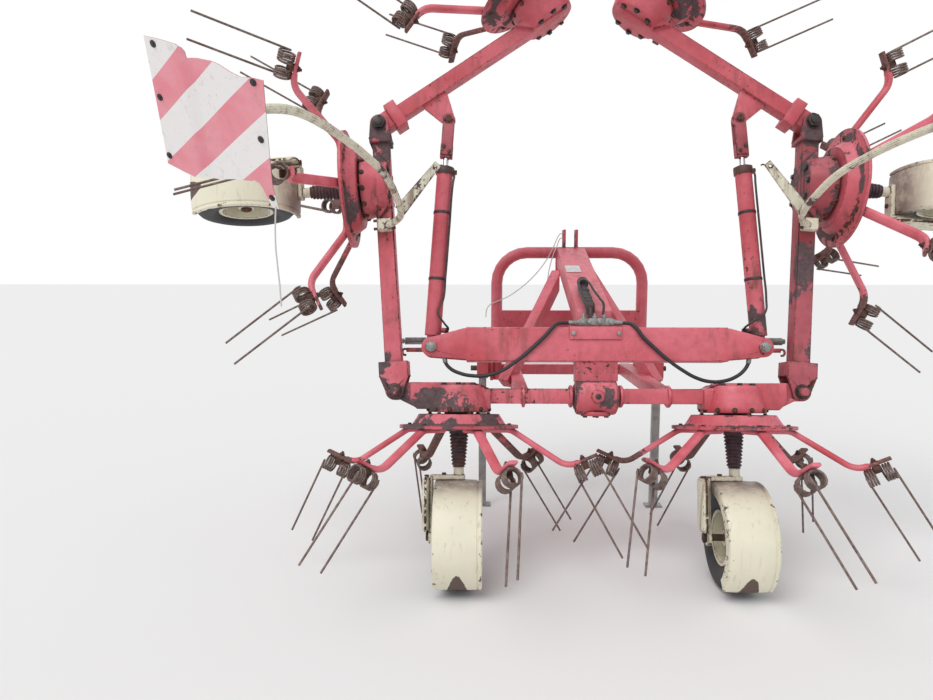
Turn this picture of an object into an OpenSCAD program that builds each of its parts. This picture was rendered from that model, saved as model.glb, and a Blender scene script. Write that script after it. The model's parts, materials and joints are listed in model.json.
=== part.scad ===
// Mounted hay tedder with six rotors, parked with its wings folded up over its middle.
// X points right as seen from behind, Y points forward and Z points up. Lengths are in millimetres.
// Most pieces are drawn in the machine's own frame: its origin lies midway between the two middle rotors,
// on the plane of their plates, and the whole machine leans forward on its parking legs.

/* [Layout] */
// Distance between the axes of neighbouring rotors
pitch = 1120; // [1090:5:1150]
// Forward lean of the parked machine, degrees
lean = 11; // [9:0.5:12]
// Distance of a folding hinge outboard of the rotor beside it
hinge_out = 261; // [255:1:275]
// Height of the folding hinges above the rotor plates
hinge_up = 141; // [136:1:150]
// Fold of the inner wing from its working place, degrees
fold_wing = 86; // [80:1:90]
// Further fold of the wing's end section, degrees
fold_tip = 60; // [54:1:64]
// Running gap between a shaft and its bore, and between faces that seat
fit = 0.3; // [0.2:0.05:0.5]

/* [Wheels] */
// Outer radius of a tyre
tyre_r = 205; // [198:1:212]
// Width of a tyre
tyre_w = 165; // [150:1:175]
// Outer radius of the rim's flanges
rim_r = 112; // [105:1:118]
// Half width of the rim between its flanges
rim_half = 62; // [56:1:66]
// Depth of a wheel's axle below the rotor plate
axle_drop = 446; // [440:1:455]
// Radius of a stub axle
axle_r = 14; // [12:0.5:16]
// Gap between the tyre and its guard
guard_gap = 18; // [14:1:20]
// Width of a guard
guard_w = 190; // [184:1:200]
// Thickness of a guard's sheet
guard_t = 4; // [3:0.5:6]
// Depth of the lips along a guard's edges
guard_lip = 22; // [14:1:28]

/* [Rotors] */
// Outer radius of a rotor plate
plate_r = 243; // [235:1:250]
// Radius of the raised crown's top
crown_r = 165; // [150:1:175]
// Height of the raised crown
crown_h = 47; // [40:1:50]
// Radius of the fixed boss on which a rotor turns
boss_r = 60; // [54:1:66]
// Number of arms on a rotor
arm_count = 6; // [5:1:6]
// Width of an arm's oval tube
arm_w = 40; // [34:1:44]
// Height of an arm's oval tube
arm_t = 24; // [18:1:28]
// Radius at which an arm leaves the plate and slopes down
arm_knee_r = 215; // [205:1:225]
// Radius of the bend where an arm turns up into its tail
arm_bend_r = 442; // [430:1:455]
// Depth of that bend below the plate
arm_bend_drop = 162; // [150:1:170]
// Outward reach of the tail from its bend
tail_reach = 118; // [110:1:128]
// Rise of the tail from its bend to its end
tail_lift = 52; // [44:1:60]
// Outer radius of a tine's coil
coil_r = 35; // [30:1:38]
// Diameter of the tine wire
wire_d = 9; // [8:0.5:10]
// Turns in one coil
coil_turns = 4; // [3:1:4]
// Length of a tine's straight leg
tine_len = 370; // [340:5:380]
// Outward lean of the tines, degrees
tine_out = 30; // [24:1:32]
// Trailing lean of the tines, degrees
tine_back = 15; // [8:1:18]

/* [Frame] */
// Side of the torque tubes and of the wing ends' square tube
tube_w = 62; // [56:1:66]
// Side of the inner wings' square tube
wing_tube_w = 70; // [64:1:76]
// Height of the main beam's underside above the plates
beam_low = 262; // [255:1:270]
// Height of the main beam's box
beam_h = 139; // [130:1:145]
// Depth of the main beam from back to front
beam_d = 100; // [90:1:110]
// Half length of the main beam's box
beam_half = 530; // [510:1:545]
// Radius of the wing hinge pins
hinge_pin_r = 20; // [18:0.5:22]
// Half thickness of a hinge's middle lug
lug_half = 34; // [30:1:38]
// Thickness of a hinge's outer cheeks
cheek_t = 17; // [14:1:20]
// Radius of a hinge's round ends
hinge_r = 38; // [34:1:42]

/* [Fold cylinders] */
// Distance of a cylinder's base pin from the middle
base_u = 673; // [668:1:680]
// Height of a cylinder's base pin above the plates
base_up = 320; // [316:1:330]
// Radius of the base pin
base_pin_r = 15; // [12:0.5:16]
// Distance from a tip hinge to its bracket's eye, along the wing
lug_out = 256; // [250:1:262]
// Height of the bracket's eye above the tip hinge
lug_up = 141; // [136:1:146]
// Outer radius of a cylinder's barrel
barrel_r = 34; // [30:1:36]
// Radius of a cylinder's rod
rod_r = 12; // [10:0.5:14]
// Length of rod that shows when folded
rod_show = 42; // [30:1:60]

/* [Headstock] */
// Outer half width of the headstock's bow
bow_half = 417; // [405:1:425]
// Diameter of the bow's tube
bow_d = 60; // [54:1:64]
// Height of the bow's top
bow_top = 1390; // [1370:5:1400]
// Outer radius of the bow's corners
bow_corner = 190; // [170:5:200]
// Distance of the bow in front of the rotors' line
bow_y = 1000; // [980:5:1010]
// Height of the lower hitch pins
hitch_z = 740; // [730:1:750]
// Radius of the lower hitch pins
hitch_pin_r = 14; // [11:0.5:14]
// Free length of a lower hitch pin
hitch_pin_len = 95; // [85:1:100]
// Radius of the top link's bore
top_bore_r = 12.7; // [9.6:0.1:12.8]
// Side of a parking leg's square tube
stand_w = 40; // [36:1:44]
// Distance of a parking leg from the middle
stand_x = 462; // [458:1:475]

/* [Warning boards] */
// Side of a warning board
board_w = 423; // [400:1:430]
// Thickness of a warning board
board_t = 3; // [2:0.5:4]
// Diameter of the tube that carries a board
carrier_d = 28; // [24:1:30]

/* [Hidden] */
$fn = 48;

left = -1;
right = 1;
origin_y = -91;
plate_z = tyre_r + axle_drop * cos(lean);
hinge_u = pitch / 2 + hinge_out;
tip_u = hinge_u + pitch;
lug_u = tip_u + lug_out;
lug_w = hinge_up + lug_up;

// Rotors: side, place from the middle outwards, turn of the first arm in degrees, direction of turning
ROTORS = [
  [left, 1, -9, 1], [left, 2, -21, -1], [left, 3, -9, 1],
  [right, 1, -21, -1], [right, 2, -9, 1], [right, 3, -21, -1]
];
function rotor_row(side, place) = [for (r = ROTORS) if (r[0] == side && r[1] == place) r][0];

// Frames of reference: the leaning machine, a folded wing, its folded end, and the upright world
module leaning() translate([0, origin_y, plate_z]) rotate([-lean, 0, 0]) children();
module upright() translate([0, origin_y, 0]) children();
module folded(side, u, angle)
  translate([side * u, 0, hinge_up]) rotate([0, -side * angle, 0])
    translate([-side * u, 0, -hinge_up]) children();
module mirrored(side) mirror([side < 0 ? 1 : 0, 0, 0]) children();
module on_wing(side) leaning() folded(side, hinge_u, fold_wing) children();
module on_tip(side) on_wing(side) folded(side, tip_u, fold_tip) children();
module at_rotor(side, place) {
  if (place == 1) leaning() translate([side * pitch / 2, 0, 0]) children();
  if (place == 2) on_wing(side) translate([side * pitch * 1.5, 0, 0]) children();
  if (place == 3) on_tip(side) translate([side * pitch * 2.5, 0, 0]) children();
}

// A pin along the machine's fore and aft axis
module cross_pin(r, from, to) translate([0, to, 0]) rotate([90, 0, 0]) cylinder(r = r, h = to - from);
// A flat outline in the machine's X and Z, given thickness fore and aft
module plate_xz(from, to) translate([0, to, 0]) rotate([90, 0, 0]) linear_extrude(to - from) children();
// A revolved shape about a sideways axis: the outline's first axis is the radius, its second the width
module about_x(angle = 360) rotate([90, 0, 90]) rotate_extrude(angle = angle) children();
// A rectangular bar from one point to another
module bar(p, q, w, h) {
  d = q - p;
  translate(p) rotate([0, -atan2(d[2], norm([d[0], d[1]])), atan2(d[1], d[0])])
    translate([0, -w / 2, -h / 2]) cube([norm(d), w, h]);
}
// A box from its lowest to its highest corner
module box(lo, hi) translate(lo) cube(hi - lo);

// Round tube swept along a route: a ring of points at each station, square to the route there
function unit(v) = v / norm(v);
function heading(route, i) = unit(route[min(i + 1, len(route) - 1)] - route[max(i - 1, 0)]);
module swept(route, d, sides, across = [0, 1, 0]) {
  n = len(route);
  rings = [for (i = [0 : n - 1]) let (h = heading(route, i), a = unit(cross(h, across)), b = cross(h, a))
    for (k = [0 : sides - 1]) route[i] + d / 2 * (a * cos(360 * k / sides) + b * sin(360 * k / sides))];
  walls = [for (i = [0 : n - 2]) for (k = [0 : sides - 1]) let (m = (k + 1) % sides)
    [i * sides + k, i * sides + m, (i + 1) * sides + m, (i + 1) * sides + k]];
  ends = [[for (k = [sides - 1 : -1 : 0]) k], [for (k = [0 : sides - 1]) (n - 1) * sides + k]];
  polyhedron(points = rings, faces = concat([for (f = walls) [f[3], f[2], f[1], f[0]]],
    [for (e = ends) [for (k = [len(e) - 1 : -1 : 0]) e[k]]]), convexity = 6);
}

// Rotor plate: a pressed dish with a raised crown, a turned-down rim and a hub tube on the fixed boss
plate_low = -4;
sheet_t = 6;
hub_wall = 12;
module rotor(side, place) color("firebrick") at_rotor(side, place) rotate_extrude()
  polygon([
    [boss_r + fit, plate_low], [boss_r + 70, plate_low], [boss_r + 70, plate_low + sheet_t],
    [boss_r + hub_wall, plate_low + sheet_t], [boss_r + hub_wall, crown_h - sheet_t],
    [crown_r - 5, crown_h - sheet_t], [crown_r + 24, plate_low], [plate_r - sheet_t, plate_low],
    [plate_r - sheet_t, plate_low - sheet_t], [plate_r, plate_low - sheet_t], [plate_r, plate_low + 7],
    [crown_r + 28, plate_low + 7], [crown_r, crown_h], [boss_r + fit, crown_h]
  ]);

// One arm with its tail, its pair of coils and their two straight tines
arm_root_r = boss_r + 40;
arm_root_w = plate_low - fit - arm_t / 2;
tail_t = 14;
tail_rise = atan2(tail_lift, tail_reach);
tail_len = norm([tail_reach, tail_lift]);
coil_drop = tail_t / 2 + 2 + coil_r;
coil_pitch = wire_d * 1.15;
coil_w = coil_turns * coil_pitch;
coil_gap = 66;
coil_mid = tail_len / 2 + 4;
clamp_half = (coil_gap - coil_w) / 2 + 3;
knee_angle = atan2(-arm_bend_drop - arm_root_w, arm_bend_r - arm_knee_r);

knee_bend_r = 60;
tail_bend_r = 80;

// Rounded corner of a route in the arm's plane: points with their slopes, from slope a to slope b
function corner(p, a, b, r, n) = let (s = sign(b - a),
    start = p - r * tan(abs(b - a) / 2) * [cos(a), sin(a)], mid = start + s * r * [-sin(a), cos(a)])
  [for (k = [0 : n]) let (m = a + (b - a) * k / n) [mid + s * r * [sin(m), -cos(m)], m]];
// Oval section: half its width and half its height at ten points
function oval(wide, thick) = [for (e = [1, -1]) for (a = [-90 : 45 : 90])
  [e * ((wide - thick) / 2 + thick / 2 * cos(a)), e * thick / 2 * sin(a)]];
// Bent oval tube through stations of place, slope, width and height
module bent_oval(stations) {
  sides = 10;
  n = len(stations);
  rings = [for (t = stations) for (q = oval(t[2], t[3]))
    [t[0][0] - q[1] * sin(t[1]), q[0], t[0][1] + q[1] * cos(t[1])]];
  walls = [for (i = [0 : n - 2]) for (k = [0 : sides - 1]) let (m = (k + 1) % sides)
    [i * sides + k, (i + 1) * sides + k, (i + 1) * sides + m, i * sides + m]];
  ends = [[for (k = [0 : sides - 1]) k], [for (k = [sides - 1 : -1 : 0]) (n - 1) * sides + k]];
  polyhedron(points = rings, faces = concat(walls, ends), convexity = 6);
}
groove = 4;
module coil() rotate([0, 90, 0]) rotate_extrude($fn = 32)
  polygon(concat([[coil_r - wire_d, -coil_w / 2], [coil_r, -coil_w / 2]],
    [for (k = [1 : coil_turns - 1]) for (e = [-1, 0, 1])
      [coil_r - (e == 0 ? groove : 0), -coil_w / 2 + k * coil_pitch + e * groove / 2]],
    [[coil_r, coil_w / 2], [coil_r - wire_d, coil_w / 2]]));
module arm(hand) {
  bend = [arm_bend_r, -arm_bend_drop];
  bent_oval(concat([[[arm_root_r, arm_root_w], 0, arm_w, arm_t]],
    [for (c = corner([arm_knee_r, arm_root_w], 0, knee_angle, knee_bend_r, 2)) [c[0], c[1], arm_w, arm_t]],
    [for (c = corner(bend, knee_angle, tail_rise, tail_bend_r, 3)) [c[0], c[1], arm_w, arm_t]],
    [[bend + 0.4 * [tail_reach, tail_lift], tail_rise, arm_w, tail_t],
     [bend + [tail_reach, tail_lift], tail_rise, arm_w - 4, tail_t]]));
  translate([bend[0], 0, bend[1]]) rotate([0, -tail_rise, 0]) {
    box([coil_mid - clamp_half, -arm_w / 2 + 6, -coil_drop + coil_r - 20],
      [coil_mid + clamp_half, arm_w / 2 - 6, -tail_t / 2 + 2]);
    translate([coil_mid, 0, 0]) cylinder(d = 20, h = tail_t / 2 + 9, $fn = 6);
    for (e = [-1, 1]) translate([coil_mid + e * coil_gap / 2, 0, -coil_drop]) {
      coil();
      translate([e * (coil_w - coil_pitch) / 2, -hand * (coil_r - wire_d / 2) * cos(tine_back), 0])
        rotate([0, tail_rise, 0]) rotate([-hand * tine_back, -tine_out, 0])
        translate([0, 0, -tine_len]) cylinder(d = wire_d - 0.6, h = tine_len, $fn = 16);
    }
  }
}
module arms(side, place) {
  row = rotor_row(side, place);
  color("saddlebrown") at_rotor(side, place)
    for (k = [0 : arm_count - 1]) rotate([0, 0, row[2] + k * 360 / arm_count]) arm(row[3]);
}

// Wheel: a tyre on a flanged rim, turning on the leg's stub axle
hub_half = 48;
module rim(side, place) color("ivory") at_rotor(side, place) translate([0, 0, -axle_drop]) about_x() {
  translate([axle_r + fit, -hub_half]) square([20, 2 * hub_half]);
  translate([axle_r + 10, -4]) square([rim_r - 20 - axle_r, 8]);
  translate([rim_r - 16, -rim_half]) square([5, 2 * rim_half]);
  for (e = [-1, 1]) translate([rim_r - 16, e * rim_half - 3]) square([16, 6]);
}
module tyre(side, place) color("dimgray") at_rotor(side, place) translate([0, 0, -axle_drop]) about_x() {
  slack = 2;
  bead = rim_r - 11 + slack;
  half = tyre_w / 2;
  seat = rim_half - 3 - fit;
  polygon([
    [bead, -seat], [rim_r + slack, -seat], [rim_r + slack + 3, -rim_half - 4], [tyre_r - 55, -half],
    [tyre_r - 20, -half + 6], [tyre_r - 6, -half + 20], [tyre_r, -half + 42], [tyre_r, half - 42],
    [tyre_r - 6, half - 20], [tyre_r - 20, half - 6], [tyre_r - 55, half], [rim_r + slack + 3, rim_half + 4],
    [rim_r + slack, seat], [bead, seat]
  ]);
}

// Wheel leg: a tapering sleeve under the rotor's boss, a crank over the tyre, the stub axle and the guard
boss_low = -20;
guard_r = tyre_r + guard_gap;
crank_t = 12;
crank_u = guard_w / 2 + 9;
guard_from = 80;
guard_to = 235;
module leg(side, place) color("ivory") at_rotor(side, place) {
  top = -axle_drop + guard_r + guard_t;
  translate([0, 0, top + 10]) cylinder(r1 = 24, r2 = 40, h = boss_low - fit - top - 10);
  box([-crank_u - crank_t, -26, top - 1], [26, 26, top + 19]);
  box([-crank_u - crank_t, -28, -axle_drop - 32], [-crank_u, 28, top + 10]);
  translate([-crank_u - crank_t / 2, 0, -axle_drop]) rotate([0, 90, 0])
    cylinder(r = axle_r, h = crank_u + crank_t / 2 + hub_half + 1);
  translate([hub_half + 1, 0, -axle_drop]) rotate([0, 90, 0]) cylinder(r = axle_r + 10, h = 10);
  translate([0, 0, -axle_drop]) rotate([guard_from, 0, 0]) about_x(guard_to - guard_from) {
    translate([guard_r, -guard_w / 2]) square([guard_t, guard_w]);
    for (e = [-1, 1])
      translate([guard_r - guard_lip + guard_t, e * (guard_w / 2 - guard_t / 2) - guard_t / 2])
        square([guard_lip, guard_t]);
  }
}

// Middle section: torque tubes, gear housings over the rotors, and the lugs of the wing hinges
hood_low = crown_h + 8;
hood_top = 165;
hood_r = 128;
housing_end = 62;
module hood() rotate_extrude()
  polygon([[0, boss_low], [boss_r, boss_low], [boss_r, hood_low], [hood_r, hood_low],
    [hood_r, hood_low + 22], [hood_r - 24, hood_top], [0, hood_top]]);
module frame_side(side) color("indianred") leaning() mirrored(side) {
  tube_mid = hinge_up - 20;
  box([90, -tube_w / 2, tube_mid - tube_w / 2], [pitch / 2 - 100, tube_w / 2, tube_mid + tube_w / 2]);
  for (u = [96, 290]) translate([u, 0, tube_mid]) rotate([0, 90, 0]) cylinder(r = 46, h = 12);
  translate([pitch / 2, 0, 0]) hood();
  plate_xz(-54, 54) polygon([[pitch / 2 - 130, hood_low + 12], [pitch / 2 - 130, 150],
    [pitch / 2 - 60, 176],
    [hinge_u - housing_end, 176], [hinge_u - housing_end, hood_low + 42],
    [hinge_u - housing_end - 30, hood_low + 12]]);
  difference() {
    plate_xz(-lug_half, lug_half) {
      translate([hinge_u, hinge_up]) circle(r = hinge_r);
      polygon([[hinge_u - housing_end - 20, 176], [hinge_u - 14, 176], [hinge_u, hinge_up],
        [hinge_u - 20, hood_low + 50],
        [hinge_u - housing_end - 20, hood_low + 20]]);
    }
    translate([hinge_u, 0, hinge_up]) cross_pin(hinge_pin_r + fit, -lug_half - 1, lug_half + 1);
  }
}
module gearbox_center() color("brown") leaning() {
  mid = hinge_up - 20;
  translate([0, 0, mid - 56]) cylinder(r = 84, h = 106);
  translate([0, 0, mid - 64]) cylinder(r = 62, h = 124);
  for (s = [left, right]) translate([s * 45, 0, mid]) rotate([0, s * 90, 0]) cylinder(r = 50, h = 45 - fit);
  translate([0, 60, mid]) rotate([-90, 0, 0]) cylinder(r1 = 52, r2 = 40, h = 70);
  translate([0, 128, mid]) rotate([-90, 0, 0]) cylinder(r = 17.45, h = 90);
}
module main_beam() color("indianred") leaning() {
  back = -beam_d / 2 - 6;
  front = back + beam_d;
  top = beam_low + beam_h;
  box([-beam_half, back, beam_low], [beam_half, front, top]);
  box([-85, back + 8, 182], [85, front - 8, beam_low + 5]);
  for (s = [left, right]) mirror([s < 0 ? 1 : 0, 0, 0]) {
    for (y = [back, front - 12]) difference() {
      plate_xz(y, y + 12) {
        polygon([[beam_half - 60, beam_low + 8], [beam_half - 60, top - 4], [beam_half + 10, top - 4],
          [base_u, base_up + 40], [base_u, base_up - 40], [beam_half + 10, beam_low + 8]]);
        translate([base_u, base_up]) circle(r = 40);
      }
    }
    box([base_u - 69, back + 11, base_up - 34], [base_u - 39, back + 36, base_up - 8]);
    translate([base_u, 0, base_up]) cross_pin(base_pin_r, back - 12, front + 12);
    for (y = [back - 12, front]) translate([base_u, 0, base_up]) cross_pin(base_pin_r + 9, y, y + 12);
  }
}
// Valve block on its plate over the beam's back edge, its row of fittings, and the pilot body on the mast
valve_u = 80;
valve_v = -34;
valve_r = 12;
pilot_w = 30;
pilot_cap_r = 23;
function mast_top(y) = mast_foot[2] + (y - mast_foot[1]) * mast_slope + mast_h / 2 / cos(mast_angle);
module valve_block() color("dimgray") {
  top = beam_low + beam_h + fit;
  back = -beam_d / 2 - 6;
  leaning() {
    box([-111, back - 8, top - 50], [101, back - fit, top + 8]);
    box([-111, back - 8, top], [101, valve_v + 22, top + 8]);
    box([-70, valve_v - 16, top + 7], [70, valve_v + 16, top + 34]);
    translate([-valve_u, valve_v, top + 21]) rotate([0, 90, 0]) cylinder(r = valve_r, h = 2 * valve_u);
    translate([-5, valve_v, top + 32]) cylinder(r = 13, h = 16, $fn = 6);
    translate([34, valve_v, top + 32]) cylinder(r = 9, h = 22, $fn = 6);
  }
  rise = pilot_w / 2 / cos(mast_angle) + fit;
  near = 66;
  far = 330;
  upright() {
    bar([-20, near, mast_top(near) + rise], [-16, far, mast_top(far) + rise], pilot_w, pilot_w);
    translate([-16, far, mast_top(far) + rise + pilot_cap_r - pilot_w / 2]) rotate([-72, 0, 0])
      cylinder(r = pilot_cap_r, h = 40);
    bar([-20, 46, mast_top(near) - 31], [-20, near + 6, mast_top(near) + 21], 16, 16);
  }
}

// Wings: hinge cheeks, a foot block, the square tube, a gear housing over the rotor and the next hinge
cyl_v = -6;
module hinge_cheeks(u, reach, half) for (s = [-1, 1]) {
  from = s > 0 ? lug_half + fit : -lug_half - fit - cheek_t;
  plate_xz(from, from + cheek_t) {
    translate([u, hinge_up]) circle(r = hinge_r);
    polygon([[u, hinge_up - hinge_r], [u, hinge_up + hinge_r], [u + reach, hinge_up + half],
      [u + reach, hinge_up - half]]);
  }
}
module wing_tube(from, to, w) box([from, -w / 2, hinge_up - w / 2], [to, w / 2, hinge_up + w / 2]);
foot_from = 60;
foot_to = 120;
cheek_out = lug_half + fit + cheek_t;
module wing(side) color("indianred") on_wing(side) mirrored(side) {
  hinge_cheeks(hinge_u, foot_from + 1, 60);
  translate([hinge_u, 0, hinge_up]) cross_pin(hinge_pin_r, -cheek_out - 34, cheek_out + 20);
  box([hinge_u + foot_from, -cheek_out, hinge_up - 60], [hinge_u + foot_to, cheek_out, hinge_up + 60]);
  wing_tube(hinge_u + foot_to - 1, tip_u - foot_from, wing_tube_w);
  translate([pitch * 1.5, 0, 0]) hood();
  plate_xz(-50, 50) polygon([[pitch * 1.5 - 150, 112], [pitch * 1.5 - 90, 172], [pitch * 1.5 + 90, 172],
    [pitch * 1.5 + 150, 112]]);
  box([tip_u - foot_from - 20, -cheek_out, hinge_up - 45], [tip_u - foot_from, cheek_out, hinge_up + 45]);
  difference() {
    hinge_cheeks(tip_u, -foot_from - 1, 45);
    translate([tip_u, 0, hinge_up]) cross_pin(hinge_pin_r - 2 + fit, -cheek_out - 1, cheek_out + 1);
  }
}
module tip(side) color("indianred") on_tip(side) mirrored(side) {
  block_from = tip_u + 55;
  translate([tip_u, 0, hinge_up]) cross_pin(hinge_pin_r - 2, -cheek_out - 14, cheek_out + 14);
  plate_xz(-lug_half, lug_half) {
    translate([tip_u, hinge_up]) circle(r = hinge_r);
    polygon([[tip_u, hinge_up - hinge_r], [tip_u, hinge_up + hinge_r], [block_from + 1, hinge_up + hinge_r],
      [block_from + 1, hinge_up - hinge_r]]);
  }
  box([block_from, -46, hinge_up - 56], [block_from + 50, 46, hinge_up + 59]);
  wing_tube(block_from + 49, pitch * 2.5, tube_w);
  translate([pitch * 2.5, 0, 0]) hood();
  plate_xz(-48, 48) polygon([[pitch * 2.5 - 150, 112], [pitch * 2.5 - 90, 172], [pitch * 2.5 + 70, 172],
    [pitch * 2.5 + 90, 112]]);
  plate_xz(cyl_v - 10, cyl_v + 10) {
    polygon([[lug_u - 57, hinge_up + 20], [lug_u - 57, hinge_up + 44], [lug_u - 28, lug_w],
      [lug_u + 28, lug_w],
      [lug_u + 58, hinge_up + 44], [lug_u + 58, hinge_up + 20]]);
    translate([lug_u, lug_w]) circle(r = 28);
  }
}

// Fold cylinders, drawn along X from the base pin and turned towards the bracket's eye of the folded wing
function turned(p, c, a) = c + [(p[0] - c[0]) * cos(a) - (p[1] - c[1]) * sin(a),
  (p[0] - c[0]) * sin(a) + (p[1] - c[1]) * cos(a)];
eye_folded = turned(turned([lug_u, lug_w], [tip_u, hinge_up], fold_tip), [hinge_u, hinge_up], fold_wing);
cyl_run = norm(eye_folded - [base_u, base_up]);
cyl_angle = atan2(eye_folded[1] - base_up, eye_folded[0] - base_u);
strap_back = 108;
block_len = 56;
barrel_end = cyl_run - strap_back - block_len - rod_show;
strap_gap = 5;
strap_t = 8;
module along_cylinder(side) leaning() mirrored(side)
  translate([base_u, cyl_v, base_up]) rotate([0, -cyl_angle, 0]) children();
module barrel(side) color("firebrick") along_cylinder(side) difference() {
  union() {
    rotate([90, 0, 0]) cylinder(r = 30, h = 60, center = true);
    translate([22, 0, 0]) rotate([0, 90, 0]) cylinder(r = barrel_r - 10, h = 40);
    translate([50, 0, 0]) rotate([0, 90, 0]) cylinder(r = barrel_r, h = barrel_end - 80);
    translate([barrel_end - 32, 0, 0]) rotate([0, 90, 0]) cylinder(r = barrel_r + 4, h = 32);
    translate([75, 0, barrel_r - 4]) cylinder(r = 11, h = 22);
  }
  rotate([90, 0, 0]) cylinder(r = base_pin_r + fit, h = 62, center = true);
  translate([70, 0, 0]) rotate([0, 90, 0]) cylinder(r = rod_r + fit, h = barrel_end);
}
module rod(side) color("silver") along_cylinder(side) {
  rod_from = 90;
  translate([rod_from, 0, 0]) rotate([0, 90, 0]) cylinder(r = rod_r, h = cyl_run - strap_back - rod_from);
  box([cyl_run - strap_back - block_len, -10 - strap_gap - 1, -26],
    [cyl_run - strap_back, 10 + strap_gap + 1, 26]);
  for (s = [-1, 1]) {
    from = s > 0 ? 10 + strap_gap : -10 - strap_gap - strap_t;
    box([cyl_run - strap_back - block_len + 10, from, -24], [cyl_run, from + strap_t, 24]);
    translate([cyl_run, 0, 0]) cross_pin(24, from, from + strap_t);
    translate([cyl_run, 0, 0])
      cross_pin(14, s > 0 ? from : from - 8, s > 0 ? from + strap_t + 8 : from + strap_t);
  }
}

// Headstock: the bow, its cross bars, hitch plates, mast, braces and rails
leg_x = bow_half - bow_d / 2;
bow_foot = hitch_z - 60;
function bow_route() = let (c = bow_corner - bow_d / 2, top = bow_top - bow_d / 2) concat(
  [[-leg_x, bow_y, bow_foot], [-leg_x, bow_y, top - c - 60]],
  [for (k = [0 : 6]) [-leg_x + c - c * cos(k * 15), bow_y, top - c + c * sin(k * 15)]],
  [for (k = [6 : -1 : 0]) [leg_x - c + c * cos(k * 15), bow_y, top - c + c * sin(k * 15)]],
  [[leg_x, bow_y, top - c - 60], [leg_x, bow_y, bow_foot]]);
bar_top = 1053;
bar_h = 107;
module headstock() color("indianred") upright() {
  swept(bow_route(), bow_d, 16);
  box([-leg_x, bow_y - 26, bar_top - bar_h], [leg_x, bow_y + 26, bar_top]);
  box([-leg_x, bow_y - 25, hitch_z - 30], [leg_x, bow_y + 25, hitch_z + 22]);
  for (side = [left, right]) mirrored(side) {
    box([bow_half - 12, bow_y - 50, hitch_z - 60], [bow_half + 4, bow_y + 50, hitch_z + 60]);
    box([bow_half - 12, bow_y - 49, hitch_z - 40], [stand_x, bow_y - 38, hitch_z + 60]);
    difference() {
      box([stand_x - 30, bow_y - 100, hitch_z - 40], [stand_x + 30, bow_y - 40, hitch_z + 60]);
      box([stand_x - stand_w / 2 - fit, bow_y - 70 - stand_w / 2 - fit, hitch_z - 50],
        [stand_x + stand_w / 2 + fit, bow_y - 70 + stand_w / 2 + fit, hitch_z + 70]);
    }
  }
}
module hitch_pins() color("silver") upright() for (s = [left, right])
  translate([s * (bow_half + 4 + fit), bow_y, hitch_z]) rotate([0, s * 90, 0]) {
    cylinder(r = hitch_pin_r + 14, h = 10);
    cylinder(r = hitch_pin_r, h = 10 + hitch_pin_len);
  }
module top_link() color("firebrick") upright() difference() {
  for (s = [left, right])
    box([s * 32 - 6, bow_y - 36, bow_top - 20], [s * 32 + 6, bow_y + 40, bow_top + 90]);
  translate([-60, bow_y, bow_top + 60]) rotate([0, 90, 0]) cylinder(r = top_bore_r, h = 120);
  translate([0, bow_y, bow_top - bow_d / 2]) rotate([0, 90, 0])
    cylinder(r = bow_d / 2 + fit, h = 200, center = true);
}
mast_w = 145;
mast_h = 90;
mast_foot = [0, 40, 1048];
mast_head = [0, bow_y - 20, bow_top - 46];
mast_slope = (mast_head[2] - mast_foot[2]) / (mast_head[1] - mast_foot[1]);
mast_angle = atan(mast_slope);
head_face = bow_y - bow_d / 2 - fit;
plate_t = 12;
module mast() color("indianred") {
  difference() {
    upright() bar(mast_foot, mast_head, mast_w, mast_h);
    upright() box([-mast_w, head_face - plate_t / 2, 1000], [mast_w, head_face + 100, 1600]);
    leaning() box([-mast_w, -200, 0], [mast_w, 400, beam_low + beam_h + plate_t / 2]);
    leaning() box([-mast_w, -300, 200], [mast_w, -8, 700]);
  }
  upright() box([-mast_w / 2 - 6, head_face - plate_t, bow_top - 130],
    [mast_w / 2 + 6, head_face, bow_top - 24]);
  leaning() box([-mast_w / 2 - 10, -8, beam_low + beam_h + fit],
    [mast_w / 2 + 10, beam_d / 2 - 6, beam_low + beam_h + plate_t]);
}
brace_w = 60;
brace_x = 356;
rail_w = 57;
rail_x = brace_x - brace_w / 2 - rail_w / 2 + 1;
brace_foot = [brace_x, bow_y - 510, hitch_z - 2];
brace_head = [mast_w / 2, bow_y - 160, bow_top - 140];
rail_back = [rail_x, 30, plate_z + 109];
rail_front = [rail_x, bow_y - 25 - fit, hitch_z + 2];
module braces() color("indianred") for (side = [left, right]) mirrored(side) difference() {
  upright() {
    bar(brace_foot, brace_head, brace_w, brace_w);
    bar(rail_back, rail_front, rail_w, brace_w);
  }
  upright() box([-mast_w, 400, 800], [mast_w / 2 + fit, 1100, 1600]);
  leaning() box([0, -100, 0], [2 * rail_x, 46 + fit, 300]);
}
module stand(side) color("gainsboro") upright() {
  box([side * stand_x - stand_w / 2, bow_y - 70 - stand_w / 2, 4],
    [side * stand_x + stand_w / 2, bow_y - 70 + stand_w / 2, hitch_z + 150]);
  box([side * stand_x - 45, bow_y - 105, 0], [side * stand_x + 45, bow_y - 35, 6]);
}

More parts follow.
